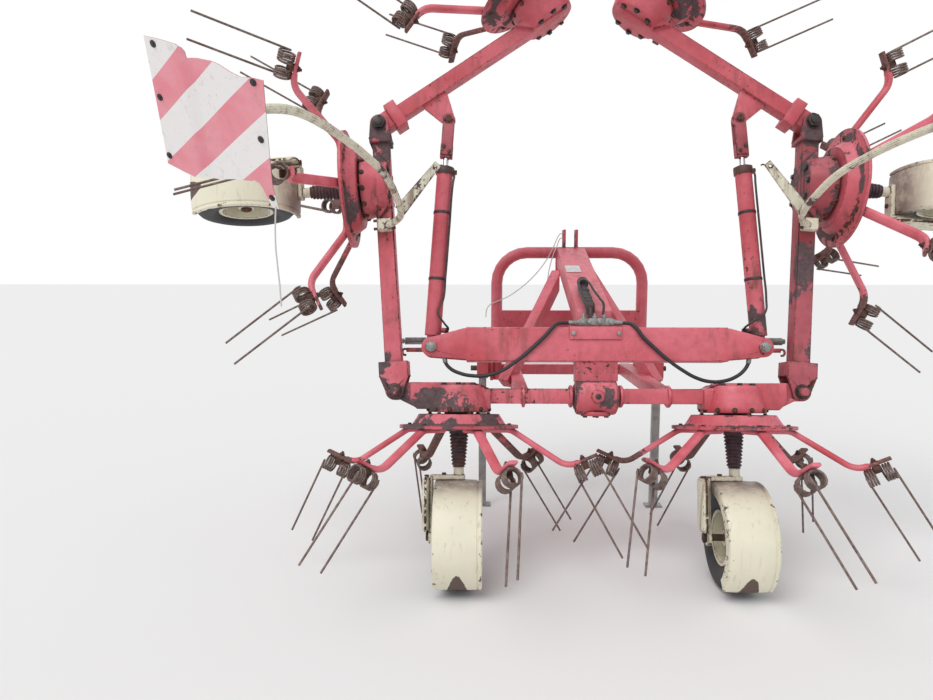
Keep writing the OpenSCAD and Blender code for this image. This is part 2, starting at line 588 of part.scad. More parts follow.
// Warning board on its bent tube; its places start where the rotor's axis meets the wing tube's back
board_at = [-79, -951, -371];
board_turn = [16.6, -57.6, -152];
carrier_route = [[-180, -27, 9], [-178, -77, 49], [-167, -145, 81], [-124, -250, 76], [-79, -373, 52],
  [-51, -511, 5], [-37, -644, -43], [-36, -784, -89], [-46, -905, -130], [-63, -979, -157],
  [-74, -1014, -177], [-81, -1032, -200], [-83, -1034, -225], [-80, -1024, -252], [-75, -1003, -284],
  [-74, -976, -317], [-74, -954, -344]];
arm_from = [-150, -153, 85];
arm_to = [6, -188, 238];
clamp_from = -200;
clamp_to = -150;
module board(side) color("ivory") on_wing(side) mirrored(side)
  translate([pitch * 1.5, -wing_tube_w / 2, hinge_up]) {
    translate(board_at) rotate(board_turn)
      translate([0, 0, -board_t / 2]) linear_extrude(board_t) square(board_w, center = true);
    swept(carrier_route, carrier_d, 12, [1, 0, 0]);
    bar(arm_from, arm_to, 8, 32);
    box([clamp_from, -40, -30], [clamp_to, -fit, 30]);
  }

// Transport lock beside the wing's foot: a bracket on the beam's end, a spring on its rod, a hooked link
spring_r = 16;
lock_v = beam_d / 2 + 14;
lock_u = base_u - 33;
lock_w = base_up + 34;
link_w = base_up - 4;
module lock(side) color("gray") leaning() mirrored(side) {
  box([lock_u, beam_d / 2 - 6 + fit, base_up - 36], [lock_u + 24, lock_v + 10, base_up - 26]);
  box([lock_u, lock_v - 6, base_up - 36], [lock_u + 24, lock_v + 10, lock_w + 18]);
  translate([lock_u + 20, lock_v, lock_w]) rotate([0, 90, 0]) cylinder(r = 6, h = 142);
  translate([lock_u + 62, lock_v, lock_w]) rotate([0, 90, 0]) cylinder(r = spring_r, h = 92);
  box([lock_u + 20, lock_v - 6, link_w - 10], [lock_u + 152, lock_v + 6, link_w + 10]);
}

// Hoses from the valve block to the beam's ends, pull ropes from the top link and the board's string
hose_d = 15;
rope_d = 5;
left_route = [[-78, 47, 1063], [-100, 47, 1063], [-122, 42, 1063], [-142, 33, 1063], [-163, 19, 1060],
  [-184, 8, 1044], [-206, 2, 1018], [-240, -1, 985], [-288, -9, 942], [-336, -15, 905],
  [-388, -16, 872], [-446, -12, 853], [-503, -5, 850], [-556, 4, 859], [-596, 12, 878], [-616, 17, 903],
  [-622, 23, 934]];
right_route = [[78, 47, 1063], [95, 47, 1063], [112, 43, 1063], [128, 34, 1062], [144, 21, 1058],
  [161, 9, 1042], [180, 2, 1014], [225, -4, 970], [286, -14, 916], [340, -16, 878], [400, -14, 845],
  [460, -8, 829], [515, -1, 831], [562, 7, 846], [598, 14, 872], [616, 18, 902], [622, 23, 934]];
long_route = [[-38, 975, 1460], [-48, 975, 1460], [-58, 973, 1455], [-67, 968, 1443], [-76, 964, 1424],
  [-90, 957, 1392], [-113, 950, 1346], [-142, 948, 1300], [-176, 948, 1256], [-212, 948, 1218],
  [-250, 950, 1184], [-286, 954, 1156], [-322, 960, 1132], [-356, 965, 1115], [-390, 966, 1101],
  [-420, 968, 1087], [-438, 970, 1066], [-444, 972, 1042], [-445, 972, 1018]];
short_route = [[-38, 975, 1436], [-48, 975, 1436], [-58, 971, 1429], [-65, 962, 1415], [-71, 949, 1400],
  [-80, 938, 1382], [-90, 930, 1360], [-99, 926, 1334], [-107, 925, 1306], [-114, 925, 1276],
  [-119, 925, 1246], [-122, 925, 1216], [-124, 925, 1186], [-124, 925, 1158]];
string_route = [[-1087, -743, 1474], [-1088, -744, 1458], [-1089, -745, 1434], [-1090, -746, 1410],
  [-1090, -747, 1386], [-1090, -747, 1362], [-1089, -747, 1338], [-1087, -747, 1314],
  [-1085, -748, 1290], [-1083, -748, 1266], [-1081, -747, 1242], [-1080, -747, 1218],
  [-1079, -746, 1196], [-1078, -746, 1174]];
module hose(route) color("black") upright() swept(route, hose_d, 8);
module rope(route) color("white") upright() swept(route, rope_d, 8);

main_beam();
gearbox_center();
frame_side(left);  // frame_left
frame_side(right);  // frame_right
mast();
braces();
headstock();
hitch_pins();
top_link();
valve_block();
rotor(left, 1);  // rotor_left_1
rotor(left, 2);  // rotor_left_2
rotor(left, 3);  // rotor_left_3
rotor(right, 1);  // rotor_right_1
rotor(right, 2);  // rotor_right_2
rotor(right, 3);  // rotor_right_3
arms(left, 1);  // arms_left_1
arms(left, 2);  // arms_left_2
arms(left, 3);  // arms_left_3
arms(right, 1);  // arms_right_1
arms(right, 2);  // arms_right_2
arms(right, 3);  // arms_right_3
leg(left, 1);  // leg_left_1
leg(left, 2);  // leg_left_2
leg(left, 3);  // leg_left_3
leg(right, 1);  // leg_right_1
leg(right, 2);  // leg_right_2
leg(right, 3);  // leg_right_3
rim(left, 1);  // rim_left_1
rim(left, 2);  // rim_left_2
rim(left, 3);  // rim_left_3
rim(right, 1);  // rim_right_1
rim(right, 2);  // rim_right_2
rim(right, 3);  // rim_right_3
tyre(left, 1);  // tyre_left_1
tyre(left, 2);  // tyre_left_2
tyre(left, 3);  // tyre_left_3
tyre(right, 1);  // tyre_right_1
tyre(right, 2);  // tyre_right_2
tyre(right, 3);  // tyre_right_3
wing(left);  // wing_left
wing(right);  // wing_right
tip(left);  // tip_left
tip(right);  // tip_right
barrel(left);  // barrel_left
barrel(right);  // barrel_right
rod(left);  // rod_left
rod(right);  // rod_right
board(left);  // board_left
board(right);  // board_right
stand(left);  // stand_left
stand(right);  // stand_right
lock(left);  // lock_left
lock(right);  // lock_right
hose(left_route);  // hose_left
hose(right_route);  // hose_right
rope(long_route);  // rope_long
rope(short_route);  // rope_short
rope(string_route);  // board_string
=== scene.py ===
"""A mounted hay tedder with six rotors, folded up and parked on its middle wheels and its two parking legs."""

import json
import math

import bmesh
import bpy
from mathutils import Matrix, Vector


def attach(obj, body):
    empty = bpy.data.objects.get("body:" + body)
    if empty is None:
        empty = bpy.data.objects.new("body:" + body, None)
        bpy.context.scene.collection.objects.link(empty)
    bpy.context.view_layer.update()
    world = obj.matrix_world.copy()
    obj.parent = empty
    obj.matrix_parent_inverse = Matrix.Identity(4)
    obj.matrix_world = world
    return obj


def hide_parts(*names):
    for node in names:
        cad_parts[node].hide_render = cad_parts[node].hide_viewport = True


bl_info = {
    "name": "Hay Tedder",
    "version": (1, 0, 0),
    "blender": (4, 5, 0),
    "location": "View3D > Sidebar > Tedder",
    "description": "Dresses a folded hay tedder with worn paint, tyres, spring tines, hoses and warning boards",
    "category": "Object",
}

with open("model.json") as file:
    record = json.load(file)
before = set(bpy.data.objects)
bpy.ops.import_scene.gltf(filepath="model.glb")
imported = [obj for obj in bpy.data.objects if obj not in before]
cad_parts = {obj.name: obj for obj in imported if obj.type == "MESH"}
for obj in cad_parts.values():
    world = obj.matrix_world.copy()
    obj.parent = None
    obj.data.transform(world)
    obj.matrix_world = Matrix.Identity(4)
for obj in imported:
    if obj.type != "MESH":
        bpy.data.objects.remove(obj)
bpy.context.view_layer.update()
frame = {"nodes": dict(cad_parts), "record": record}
NODES = frame["nodes"]
BODY_OF = {node: body for body, nodes in frame["record"]["behaviour"]["bodies"].items() for node in nodes}
SIDES = {"left": -1, "right": 1}
PLACES = (1, 2, 3)
# Turn of each rotor's first arm in degrees, and the way it runs
ARM_TURN = {
    ("left", 1): (-9, 1), ("left", 2): (-21, -1), ("left", 3): (-9, 1),
    ("right", 1): (-21, -1), ("right", 2): (-9, 1), ("right", 3): (-21, -1),
}


def srgb(red, green, blue):
    """A colour given as it shows on a screen, 0 to 255, as Blender's linear values."""
    return tuple(c / 12.92 if c <= 0.04045 else ((c + 0.055) / 1.055) ** 2.4 for c in (red / 255, green / 255, blue / 255))


def metres(name, description, default):
    return bpy.props.FloatProperty(name=name, description=description, default=default, min=0, unit="LENGTH")


def degrees(name, description, default):
    return bpy.props.FloatProperty(name=name, description=description, default=math.radians(default), unit="ROTATION")


def colour(name, description, red, green, blue):
    return bpy.props.FloatVectorProperty(
        name=name, description=description, default=srgb(red, green, blue), subtype="COLOR", size=3, min=0, max=1
    )


def share(name, description, default):
    return bpy.props.FloatProperty(name=name, description=description, default=default, min=0, max=1, subtype="FACTOR")


class TedderLayout(bpy.types.PropertyGroup):
    """Where the machine's main parts stand"""

    pitch: metres("Pitch", "Distance between neighbouring rotor axes", 1.12)
    lean: degrees("Lean", "Forward lean of the rotor axes", 11)
    row_y: bpy.props.FloatProperty(name="Row", description="Place of the rotors' line fore and aft", default=-0.091, unit="LENGTH")
    plate_height: metres("Plate height", "Height of the middle rotors' plates", 0.64281)
    hinge_out: metres("Hinge out", "Wing hinge's distance outside the middle rotor", 0.261)
    hinge_up: metres("Hinge up", "Wing hinge's height over the rotor plate", 0.141)
    fold_wing: degrees("Wing fold", "Fold of the inner wing", 86)
    fold_tip: degrees("Tip fold", "Fold of the wing's end", 60)
    axle_drop: metres("Axle drop", "Axle's distance under the rotor plate", 0.446)


class TedderSizes(bpy.types.PropertyGroup):
    """Sizes of the pieces that are dressed here"""

    edge: metres("Edge", "Width of the rounding along steel edges", 0.002)
    tyre_radius: metres("Tyre radius", "Outer radius of a tyre", 0.205)
    tyre_width: metres("Tyre width", "Width of a tyre", 0.165)
    rim_radius: metres("Rim radius", "Radius of the rim's flange", 0.112)
    guard_gap: metres("Guard gap", "Gap between tyre and guard", 0.018)
    guard_width: metres("Guard width", "Width of a wheel guard", 0.19)
    axle: metres("Axle", "Radius of a stub axle", 0.0138)
    wire: metres("Wire", "Diameter of a tine's wire", 0.0088)
    coil_radius: metres("Coil radius", "Outer radius of a tine's coil", 0.035)
    tine_length: metres("Tine length", "Straight length of a tine", 0.37)
    hose: metres("Hose", "Diameter of a hydraulic hose", 0.015)
    rope: metres("Rope", "Diameter of the pull ropes", 0.005)
    board: metres("Board", "Side of a warning board", 0.423)


class TedderColours(bpy.types.PropertyGroup):
    """Colours of paints, rubber and bare metal"""

    # Red is the paint as it looks in shade and faded red as it looks in full light; worn paint lays the faded red on
    # upward faces as painted top light.
    red: colour("Red", "Paint where it is sheltered", 190, 70, 80)
    faded: colour("Faded red", "Paint bleached by the sun", 228, 124, 138)
    rust: colour("Rust", "Rust on chipped edges", 104, 62, 46)
    old_rust: colour("Old rust", "Dark rust and dried grease", 66, 50, 48)
    cream: colour("Cream", "Paint of guards and carriers", 226, 222, 200)
    rubber: colour("Rubber", "Tyres and hoses", 44, 44, 48)
    zinc: colour("Zinc", "Galvanised steel", 150, 150, 148)
    chrome: colour("Chrome", "Cylinder rods", 200, 202, 206)
    board_red: colour("Board red", "Bleached stripes of the boards", 236, 138, 152)
    board_white: colour("Board white", "White stripes of the boards", 244, 240, 240)
    rope: colour("Rope", "Pull ropes", 226, 222, 220)


def layout():
    return bpy.context.scene.tedder_layout


def sizes():
    return bpy.context.scene.tedder_sizes


def colours():
    return bpy.context.scene.tedder_colours


# Places

def at(x=0.0, y=0.0, z=0.0):
    return Matrix.Translation((x, y, z))


def turn(angle, axis):
    """A turn in radians about the X, Y or Z axis."""
    return Matrix.Rotation(angle, 4, axis)


def upright():
    return at(0, layout().row_y, 0)


def leaning():
    return at(0, layout().row_y, layout().plate_height) @ turn(-layout().lean, "X")


def hinge_u():
    return layout().pitch / 2 + layout().hinge_out


def tip_u():
    return hinge_u() + layout().pitch


def folded(sign, u, angle):
    return at(sign * u, 0, layout().hinge_up) @ turn(-sign * angle, "Y") @ at(-sign * u, 0, -layout().hinge_up)


def on_wing(sign):
    return leaning() @ folded(sign, hinge_u(), layout().fold_wing)


def on_tip(sign):
    return on_wing(sign) @ folded(sign, tip_u(), layout().fold_tip)


def mirrored(sign):
    """Left parts are drawn as right ones and mirrored."""
    return Matrix.Diagonal((sign, 1, 1, 1))


def section(sign, place):
    """Frame of the middle section, the inner wing or the wing's end."""
    return {1: leaning, 2: lambda: on_wing(sign), 3: lambda: on_tip(sign)}[place]()


def at_rotor(side, place):
    """Frame of a rotor: its origin in the plate's middle, Z up its axis."""
    sign = SIDES[side]
    return section(sign, place) @ at(sign * layout().pitch * (place - 0.5))


# Modelling

def deselect():
    if bpy.context.object and bpy.context.object.mode != "OBJECT":
        bpy.ops.object.mode_set(mode="OBJECT")
    bpy.ops.object.select_all(action="DESELECT")


def take(obj):
    """Makes one object the selected and active one."""
    deselect()
    obj.select_set(True)
    bpy.context.view_layer.objects.active = obj
    return obj


def primitive(kind, name, **settings):
    """Adds a mesh primitive and names it."""
    deselect()
    getattr(bpy.ops.mesh, f"primitive_{kind}_add")(**settings)
    obj = bpy.context.object
    obj.name = name
    bpy.ops.object.transform_apply(location=True, rotation=True, scale=True)
    return obj


def block(name, low, high):
    """A box from its lowest to its highest corner."""
    low, high = Vector(low), Vector(high)
    return primitive("cube", name, size=1, location=(low + high) / 2, scale=high - low)


def round_bar(name, start, end, radius, sides=24):
    """A cylinder between two points."""
    start, end = Vector(start), Vector(end)
    way = (end - start).to_track_quat("Z", "Y").to_euler()
    return primitive(
        "cylinder", name, vertices=sides, radius=radius, depth=(end - start).length,
        location=(start + end) / 2, rotation=way,
    )


def edit(obj, mode="FACE"):
    """Opens an object in edit mode with nothing selected."""
    take(obj)
    bpy.ops.object.mode_set(mode="EDIT")
    bpy.ops.mesh.select_mode(type=mode)
    bpy.ops.mesh.select_all(action="DESELECT")


def select(obj, kind, test):
    """Selects the faces, edges or vertices of the open mesh that pass a test."""
    mesh = bmesh.from_edit_mesh(obj.data)
    for part in getattr(mesh, kind):
        part.select_set(bool(test(part)))
    mesh.select_flush_mode()
    bmesh.update_edit_mesh(obj.data)


def finish_edit():
    bpy.ops.object.mode_set(mode="OBJECT")


def modify(obj, kind, **settings):
    """Adds a modifier and applies it."""
    take(obj)
    modifier = obj.modifiers.new(kind.title(), kind)
    for key, value in settings.items():
        setattr(modifier, key, value)
    bpy.ops.object.modifier_apply(modifier=modifier.name)
    return obj


def round_edges(obj, width, angle=35, segments=2):
    return modify(
        obj, "BEVEL", width=width, segments=segments, limit_method="ANGLE", angle_limit=math.radians(angle),
        use_clamp_overlap=False, miter_outer="MITER_SHARP", harden_normals=False,
    )


def smooth(obj, angle=35):
    take(obj)
    bpy.ops.object.shade_smooth_by_angle(angle=math.radians(angle))
    return obj


def spun(name, points, steps, axis, angle=math.tau):
    """A chain of points spun about an axis through the origin. A closed chain ends at its first point."""
    closed = points[0] == points[-1]
    points = points[:-1] if closed else points
    links = [(i, i + 1) for i in range(len(points) - 1)] + [(len(points) - 1, 0)] * closed
    mesh = bpy.data.meshes.new(name)
    mesh.from_pydata(points, links, [])
    obj = bpy.data.objects.new(name, mesh)
    bpy.context.scene.collection.objects.link(obj)
    edit(obj, "VERT")
    bpy.ops.mesh.select_all(action="SELECT")
    bpy.ops.mesh.spin(steps=steps, angle=angle, center=(0, 0, 0), axis=axis)
    bpy.ops.mesh.select_all(action="SELECT")
    bpy.ops.mesh.remove_doubles(threshold=0.0001)
    bpy.ops.mesh.normals_make_consistent(inside=False)
    finish_edit()
    return obj


def copied(obj, name, place):
    """A copy of a finished shape with its own mesh, moved to its place."""
    other = obj.copy()
    other.data = obj.data.copy()
    other.name = name
    bpy.context.scene.collection.objects.link(other)
    other.data.transform(place)
    if place.to_3x3().determinant() < 0:
        other.data.flip_normals()
    return other


def joined(objects, name):
    """Several shapes as one object."""
    deselect()
    for obj in objects:
        obj.select_set(True)
    bpy.context.view_layer.objects.active = objects[0]
    if len(objects) > 1:
        bpy.ops.object.join()
    objects[0].name = name
    return objects[0]


def spread(obj, name, places):
    """Copies of a shape at several places, joined, and the pattern removed."""
    made = joined([copied(obj, f"{name}_{i}", place) for i, place in enumerate(places)], name)
    bpy.data.objects.remove(obj)
    return made


def settle(obj, body, material, replaced=()):
    """Gives a finished piece its material and its body, and hides the nodes it replaces."""
    obj.data.materials.clear()
    obj.data.materials.append(material)
    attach(obj, body)
    if replaced:
        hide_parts(*replaced)
    return obj


def line(name, points, radius, rounded=True, sides=3, caps=True):
    """A round wire, pipe or rope through points, as a curve."""
    data = bpy.data.curves.new(name, "CURVE")
    data.dimensions = "3D"
    data.bevel_depth = radius
    data.bevel_resolution = sides
    data.use_fill_caps = caps
    data.resolution_u = 6
    spline = data.splines.new("BEZIER" if rounded else "POLY")
    knots = spline.bezier_points if rounded else spline.points
    knots.add(len(points) - 1)
    for knot, point in zip(knots, points):
        if rounded:
            knot.co = point
            knot.handle_left_type = knot.handle_right_type = "AUTO"
        else:
            knot.co = (*point, 1)
    obj = bpy.data.objects.new(name, data)
    bpy.context.scene.collection.objects.link(obj)
    return obj


def tube(name, points, radius, rounded=True, sides=3):
    """The same as a mesh."""
    obj = take(line(name, points, radius, rounded, sides))
    bpy.ops.object.convert(target="MESH")
    return smooth(bpy.context.object, 60)


# Materials

def put(tree, kind, settings=None, **inputs):
    """Adds a shader node. An input named _3 is the fourth socket."""
    node = tree.nodes.new("ShaderNode" + kind)
    for key, value in (settings or {}).items():
        setattr(node, key, value)
    for key, value in inputs.items():
        socket = node.inputs[int(key[1:]) if key[0] == "_" else key.replace("_", " ")]
        if isinstance(value, bpy.types.NodeSocket):
            tree.links.new(value, socket)
        else:
            socket.default_value = value
    return node


def blank(name):
    """A material with a Principled shader, and the object's own coordinates."""
    made = bpy.data.materials.new(name)
    made.use_nodes = True
    tree = made.node_tree
    place = put(tree, "TexCoord")
    return made, tree, tree.nodes["Principled BSDF"], place


def noise(tree, where, scale, detail=4.0, roughness=0.55):
    return put(tree, "TexNoise", Vector=where, Scale=scale, Detail=detail, Roughness=roughness).outputs[0]


def ramp(tree, value, low, high, start=0.0, end=1.0):
    """Rises smoothly from start to end as the value goes from low to high."""
    node = put(
        tree, "MapRange", {"interpolation_type": "SMOOTHSTEP", "clamp": True},
        Value=value, From_Min=low, From_Max=high, To_Min=start, To_Max=end,
    )
    return node.outputs[0]


def sums(tree, operation, first, second):
    return put(tree, "Math", {"operation": operation, "use_clamp": False}, _0=first, _1=second).outputs[0]


def mixed(tree, amount, first, second):
    """One colour over another."""
    pair = [c if isinstance(c, bpy.types.NodeSocket) else (*c, 1) for c in (first, second)]
    return put(tree, "Mix", {"data_type": "RGBA"}, _0=amount, _6=pair[0], _7=pair[1]).outputs[2]


def stretched(tree, where, scale):
    return put(tree, "Mapping", {"vector_type": "POINT"}, Vector=where, Scale=scale).outputs[0]


def edge_wear(tree, radius):
    """1 along sharp edges, 0 on flat faces."""
    rounded = put(tree, "Bevel", {"samples": 4}, Radius=radius).outputs[0]
    flat = put(tree, "NewGeometry").outputs["True Normal"]
    likeness = put(tree, "VectorMath", {"operation": "DOT_PRODUCT"}, _0=rounded, _1=flat).outputs["Value"]
    return ramp(tree, likeness, 0.998, 0.93)


def corners_dirt(tree, distance):
    """Painted shade: 1 in corners and under overhangs, 0 in the open."""
    open_sky = put(tree, "AmbientOcclusion", {"samples": 4}, Distance=distance).outputs["AO"]
    return ramp(tree, open_sky, 0.85, 0.35)


def relief(tree, height, strength, distance):
    return put(tree, "Bump", Strength=strength, Distance=distance, Height=height).outputs[0]


def worn_paint(name, paint, faded, rust=0.5, grease=0.4, chip=0.5, gloss=0.42, crust=0.0, where_crust=()):
    """Old paint: bleached in clouds and on top, where the lighter tone is partly sun bleaching and partly painted top
    light; streaked, chipped down to rust along edges, greasy in corners, where the darkening is partly grease and
    partly painted shade.

    crust is how much of it lies under dark dried grease. where_crust lists an axis with the two places between which it
    sets in.
    """
    made, tree, shader, place = blank(name)
    where = place.outputs["Object"]
    tone = colours()
    up = put(tree, "SeparateXYZ", Vector=place.outputs["Normal"]).outputs[2]
    clouds = noise(tree, where, 2.3, 5)
    # Painted top light: upward faces take the faded red, partly as sun bleaching; the noise clouds add random
    # bleaching.
    bleach_and_top_light = sums(tree, "ADD", ramp(tree, up, 0.1, 0.95, 0.0, 0.55), ramp(tree, clouds, 0.3, 0.7, 0.0, 0.75))
    base = mixed(tree, bleach_and_top_light, paint, faded)
    mottle = ramp(tree, noise(tree, where, 26, 6, 0.7), 0.35, 0.75, 0.0, 0.32)
    base = mixed(tree, mottle, base, tuple(c * 0.55 for c in paint))
    streaks = noise(tree, stretched(tree, where, (34, 34, 2.6)), 1.0, 5, 0.6)
    patches = noise(tree, where, 4.1, 3)
    stain = sums(tree, "MULTIPLY", ramp(tree, streaks, 0.46, 0.68), ramp(tree, patches, 0.42, 0.62, 0.0, rust))
    base = mixed(tree, stain, base, tone.rust[:])
    chips = noise(tree, where, 62, 4, 0.62)
    worn = edge_wear(tree, 0.007)
    bare = sums(tree, "ADD", chips, sums(tree, "MULTIPLY", worn, 0.24 * chip))
    bare = sums(tree, "ADD", bare, ramp(tree, patches, 0.4, 0.72, 0.0, 0.17 * rust))
    bare = ramp(tree, bare, 0.715, 0.745)
    ruddy = mixed(tree, noise(tree, where, 90, 4), tone.rust[:], tone.old_rust[:])
    base = mixed(tree, bare, base, ruddy)
    # Painted shade: corners and overhangs darken towards the old rust tone, more where the grease patches lie; partly
    # grease, partly painted shade.
    dirt = sums(tree, "MULTIPLY", corners_dirt(tree, 0.06), ramp(tree, noise(tree, where, 7.7, 5, 0.6), 0.34, 0.62, 0.1, grease))
    base = mixed(tree, dirt, base, tone.old_rust[:])
    rough = sums(tree, "ADD", ramp(tree, bare, 0, 1, gloss, 0.88), ramp(tree, chips, 0.3, 0.7, -0.05, 0.1))
    if crust:
        level = 0.0 if where_crust else 1.0
        for axis, start, end in where_crust:
            level = sums(tree, "MAXIMUM", ramp(tree, put(tree, "SeparateXYZ", Vector=where).outputs["XYZ".index(axis)], start, end), level)
        flakes = sums(tree, "ADD", noise(tree, where, 6.5, 9, 0.62), sums(tree, "MULTIPLY", worn, 0.09))
        cover = ramp(tree, sums(tree, "ADD", flakes, sums(tree, "MULTIPLY", level, crust)), 0.70, 0.722)
        base = mixed(tree, cover, base, mixed(tree, ramp(tree, chips, 0.3, 0.7), srgb(78, 62, 66), srgb(104, 84, 86)))
        rough = sums(tree, "ADD", rough, sums(tree, "MULTIPLY", cover, 0.3))
        bare = sums(tree, "SUBTRACT", bare, sums(tree, "MULTIPLY", cover, 0.8))
    tree.links.new(base, shader.inputs["Base Color"])
    tree.links.new(rough, shader.inputs["Roughness"])
    height = sums(tree, "SUBTRACT", sums(tree, "MULTIPLY", noise(tree, where, 180, 3), 0.25), bare)
    tree.links.new(relief(tree, height, 0.35, 0.0006), shader.inputs["Normal"])
    return made


def rusty_steel(name, light, dark, scale=30.0, rough=0.82, metal=0.25):
    """Bare steel under rust, from a light to a dark tone."""
    made, tree, shader, place = blank(name)
    where = place.outputs["Object"]
    grain = noise(tree, where, scale, 7, 0.65)
    base = mixed(tree, ramp(tree, grain, 0.3, 0.7), light, dark)
    base = mixed(tree, ramp(tree, noise(tree, where, scale * 0.2, 4), 0.45, 0.7, 0.0, 0.6), base, colours().rust[:])
    tree.links.new(base, shader.inputs["Base Color"])
    tree.links.new(ramp(tree, grain, 0.2, 0.8, rough - 0.12, rough + 0.1), shader.inputs["Roughness"])
    shader.inputs["Metallic"].default_value = metal
    tree.links.new(relief(tree, grain, 0.5, 0.0008), shader.inputs["Normal"])
    return made


def bright_steel(name, tone, rough=0.4, metal=0.9, spots=0.3):
    """Plated or galvanised steel, dull and spotted."""
    made, tree, shader, place = blank(name)
    where = place.outputs["Object"]
    bloom = noise(tree, where, 24, 5, 0.6)
    base = mixed(tree, ramp(tree, bloom, 0.35, 0.7, 0.0, 0.5), tone, tuple(c * 0.55 for c in tone))
    spot = ramp(tree, noise(tree, where, 70, 5, 0.65), 0.6, 0.68, 0.0, spots)
    base = mixed(tree, spot, base, colours().rust[:])
    tree.links.new(base, shader.inputs["Base Color"])
    tree.links.new(sums(tree, "ADD", ramp(tree, bloom, 0.3, 0.7, rough - 0.08, rough + 0.12), spot), shader.inputs["Roughness"])
    shader.inputs["Metallic"].default_value = metal
    tree.links.new(relief(tree, bloom, 0.15, 0.0005), shader.inputs["Normal"])
    return made


def weathered_rubber(name):
    """Grey-black rubber with dust in its hollows."""
    made, tree, shader, place = blank(name)
    where = place.outputs["Object"]
    tone = colours().rubber[:]
    dust = ramp(tree, noise(tree, where, 9, 6, 0.65), 0.4, 0.75, 0.0, 0.5)
    base = mixed(tree, dust, tone, srgb(104, 98, 92))
    base = mixed(tree, ramp(tree, noise(tree, where, 120, 3), 0.4, 0.7, 0.0, 0.25), base, srgb(24, 24, 26))
    tree.links.new(base, shader.inputs["Base Color"])
    tree.links.new(ramp(tree, dust, 0, 0.5, 0.62, 0.9), shader.inputs["Roughness"])
    tree.links.new(relief(tree, noise(tree, where, 150, 4), 0.25, 0.0006), shader.inputs["Normal"])
    return made


def limb_paint(name):
    """Red paint near the rotor plate that gives way to brown rust towards the tail; on arms that point back the brown
    starts nearer the plate.
    """
    made, tree, shader, place = blank(name)
    where = place.outputs["Object"]
    tone = colours()
    reach = put(tree, "Attribute", {"attribute_name": "reach"}).outputs["Fac"]
    patchy = sums(tree, "ADD", reach, ramp(tree, noise(tree, where, 6.5, 5, 0.65), 0.25, 0.75, -0.3, 0.3))
    chips = noise(tree, where, 48, 5, 0.68)
    bare = sums(tree, "ADD", ramp(tree, patchy, 0.2, 0.85, 0.0, 0.5), chips)
    bare = sums(tree, "ADD", bare, sums(tree, "MULTIPLY", edge_wear(tree, 0.005), 0.12))
    bare = ramp(tree, bare, 0.68, 0.74)
    paint = mixed(tree, ramp(tree, noise(tree, where, 5, 4), 0.3, 0.7), tone.red[:], tone.faded[:])
    grain = noise(tree, where, 80, 6, 0.7)
    ruddy = mixed(tree, ramp(tree, grain, 0.35, 0.65), srgb(132, 92, 84), srgb(88, 66, 66))
    base = mixed(tree, bare, paint, ruddy)
    tree.links.new(base, shader.inputs["Base Color"])
    tree.links.new(ramp(tree, bare, 0, 1, 0.5, 0.88), shader.inputs["Roughness"])
    height = sums(tree, "SUBTRACT", sums(tree, "MULTIPLY", grain, 0.6), bare)
    tree.links.new(relief(tree, height, 0.4, 0.0007), shader.inputs["Normal"])
    return made


def board_sheet(name):
    """Bleached diagonal stripes on a dusty sheet, plain grey at the back, by the board's own UV map."""
    made, tree, shader, place = blank(name)
    tone = colours()
    across = put(tree, "SeparateXYZ", Vector=place.outputs["UV"]).outputs
    along = sums(tree, "ADD", sums(tree, "SUBTRACT", across[0], across[1]), 1.0)
    stripe = put(tree, "Math", {"operation": "FRACT"}, _0=sums(tree, "DIVIDE", sums(tree, "SUBTRACT", along, 0.33), 0.62)).outputs[0]
    red = sums(tree, "LESS_THAN", stripe, 0.48)
    where = place.outputs["Object"]
    fade = ramp(tree, noise(tree, where, 9, 5, 0.6), 0.3, 0.75, 0.0, 0.4)
    red_paint = mixed(tree, fade, tone.board_red[:], srgb(246, 186, 194))
    base = mixed(tree, red, tone.board_white[:], red_paint)
    scratches = noise(tree, stretched(tree, where, (140, 20, 60)), 1.0, 4, 0.6)
    base = mixed(tree, ramp(tree, scratches, 0.62, 0.7, 0.0, 0.35), base, srgb(150, 140, 136))
    dirt = ramp(tree, noise(tree, where, 22, 6, 0.7), 0.55, 0.8, 0.0, 0.4)
    base = mixed(tree, dirt, base, srgb(140, 130, 120))
    tree.links.new(base, shader.inputs["Base Color"])
    shader.inputs["Roughness"].default_value = 0.38
    return made


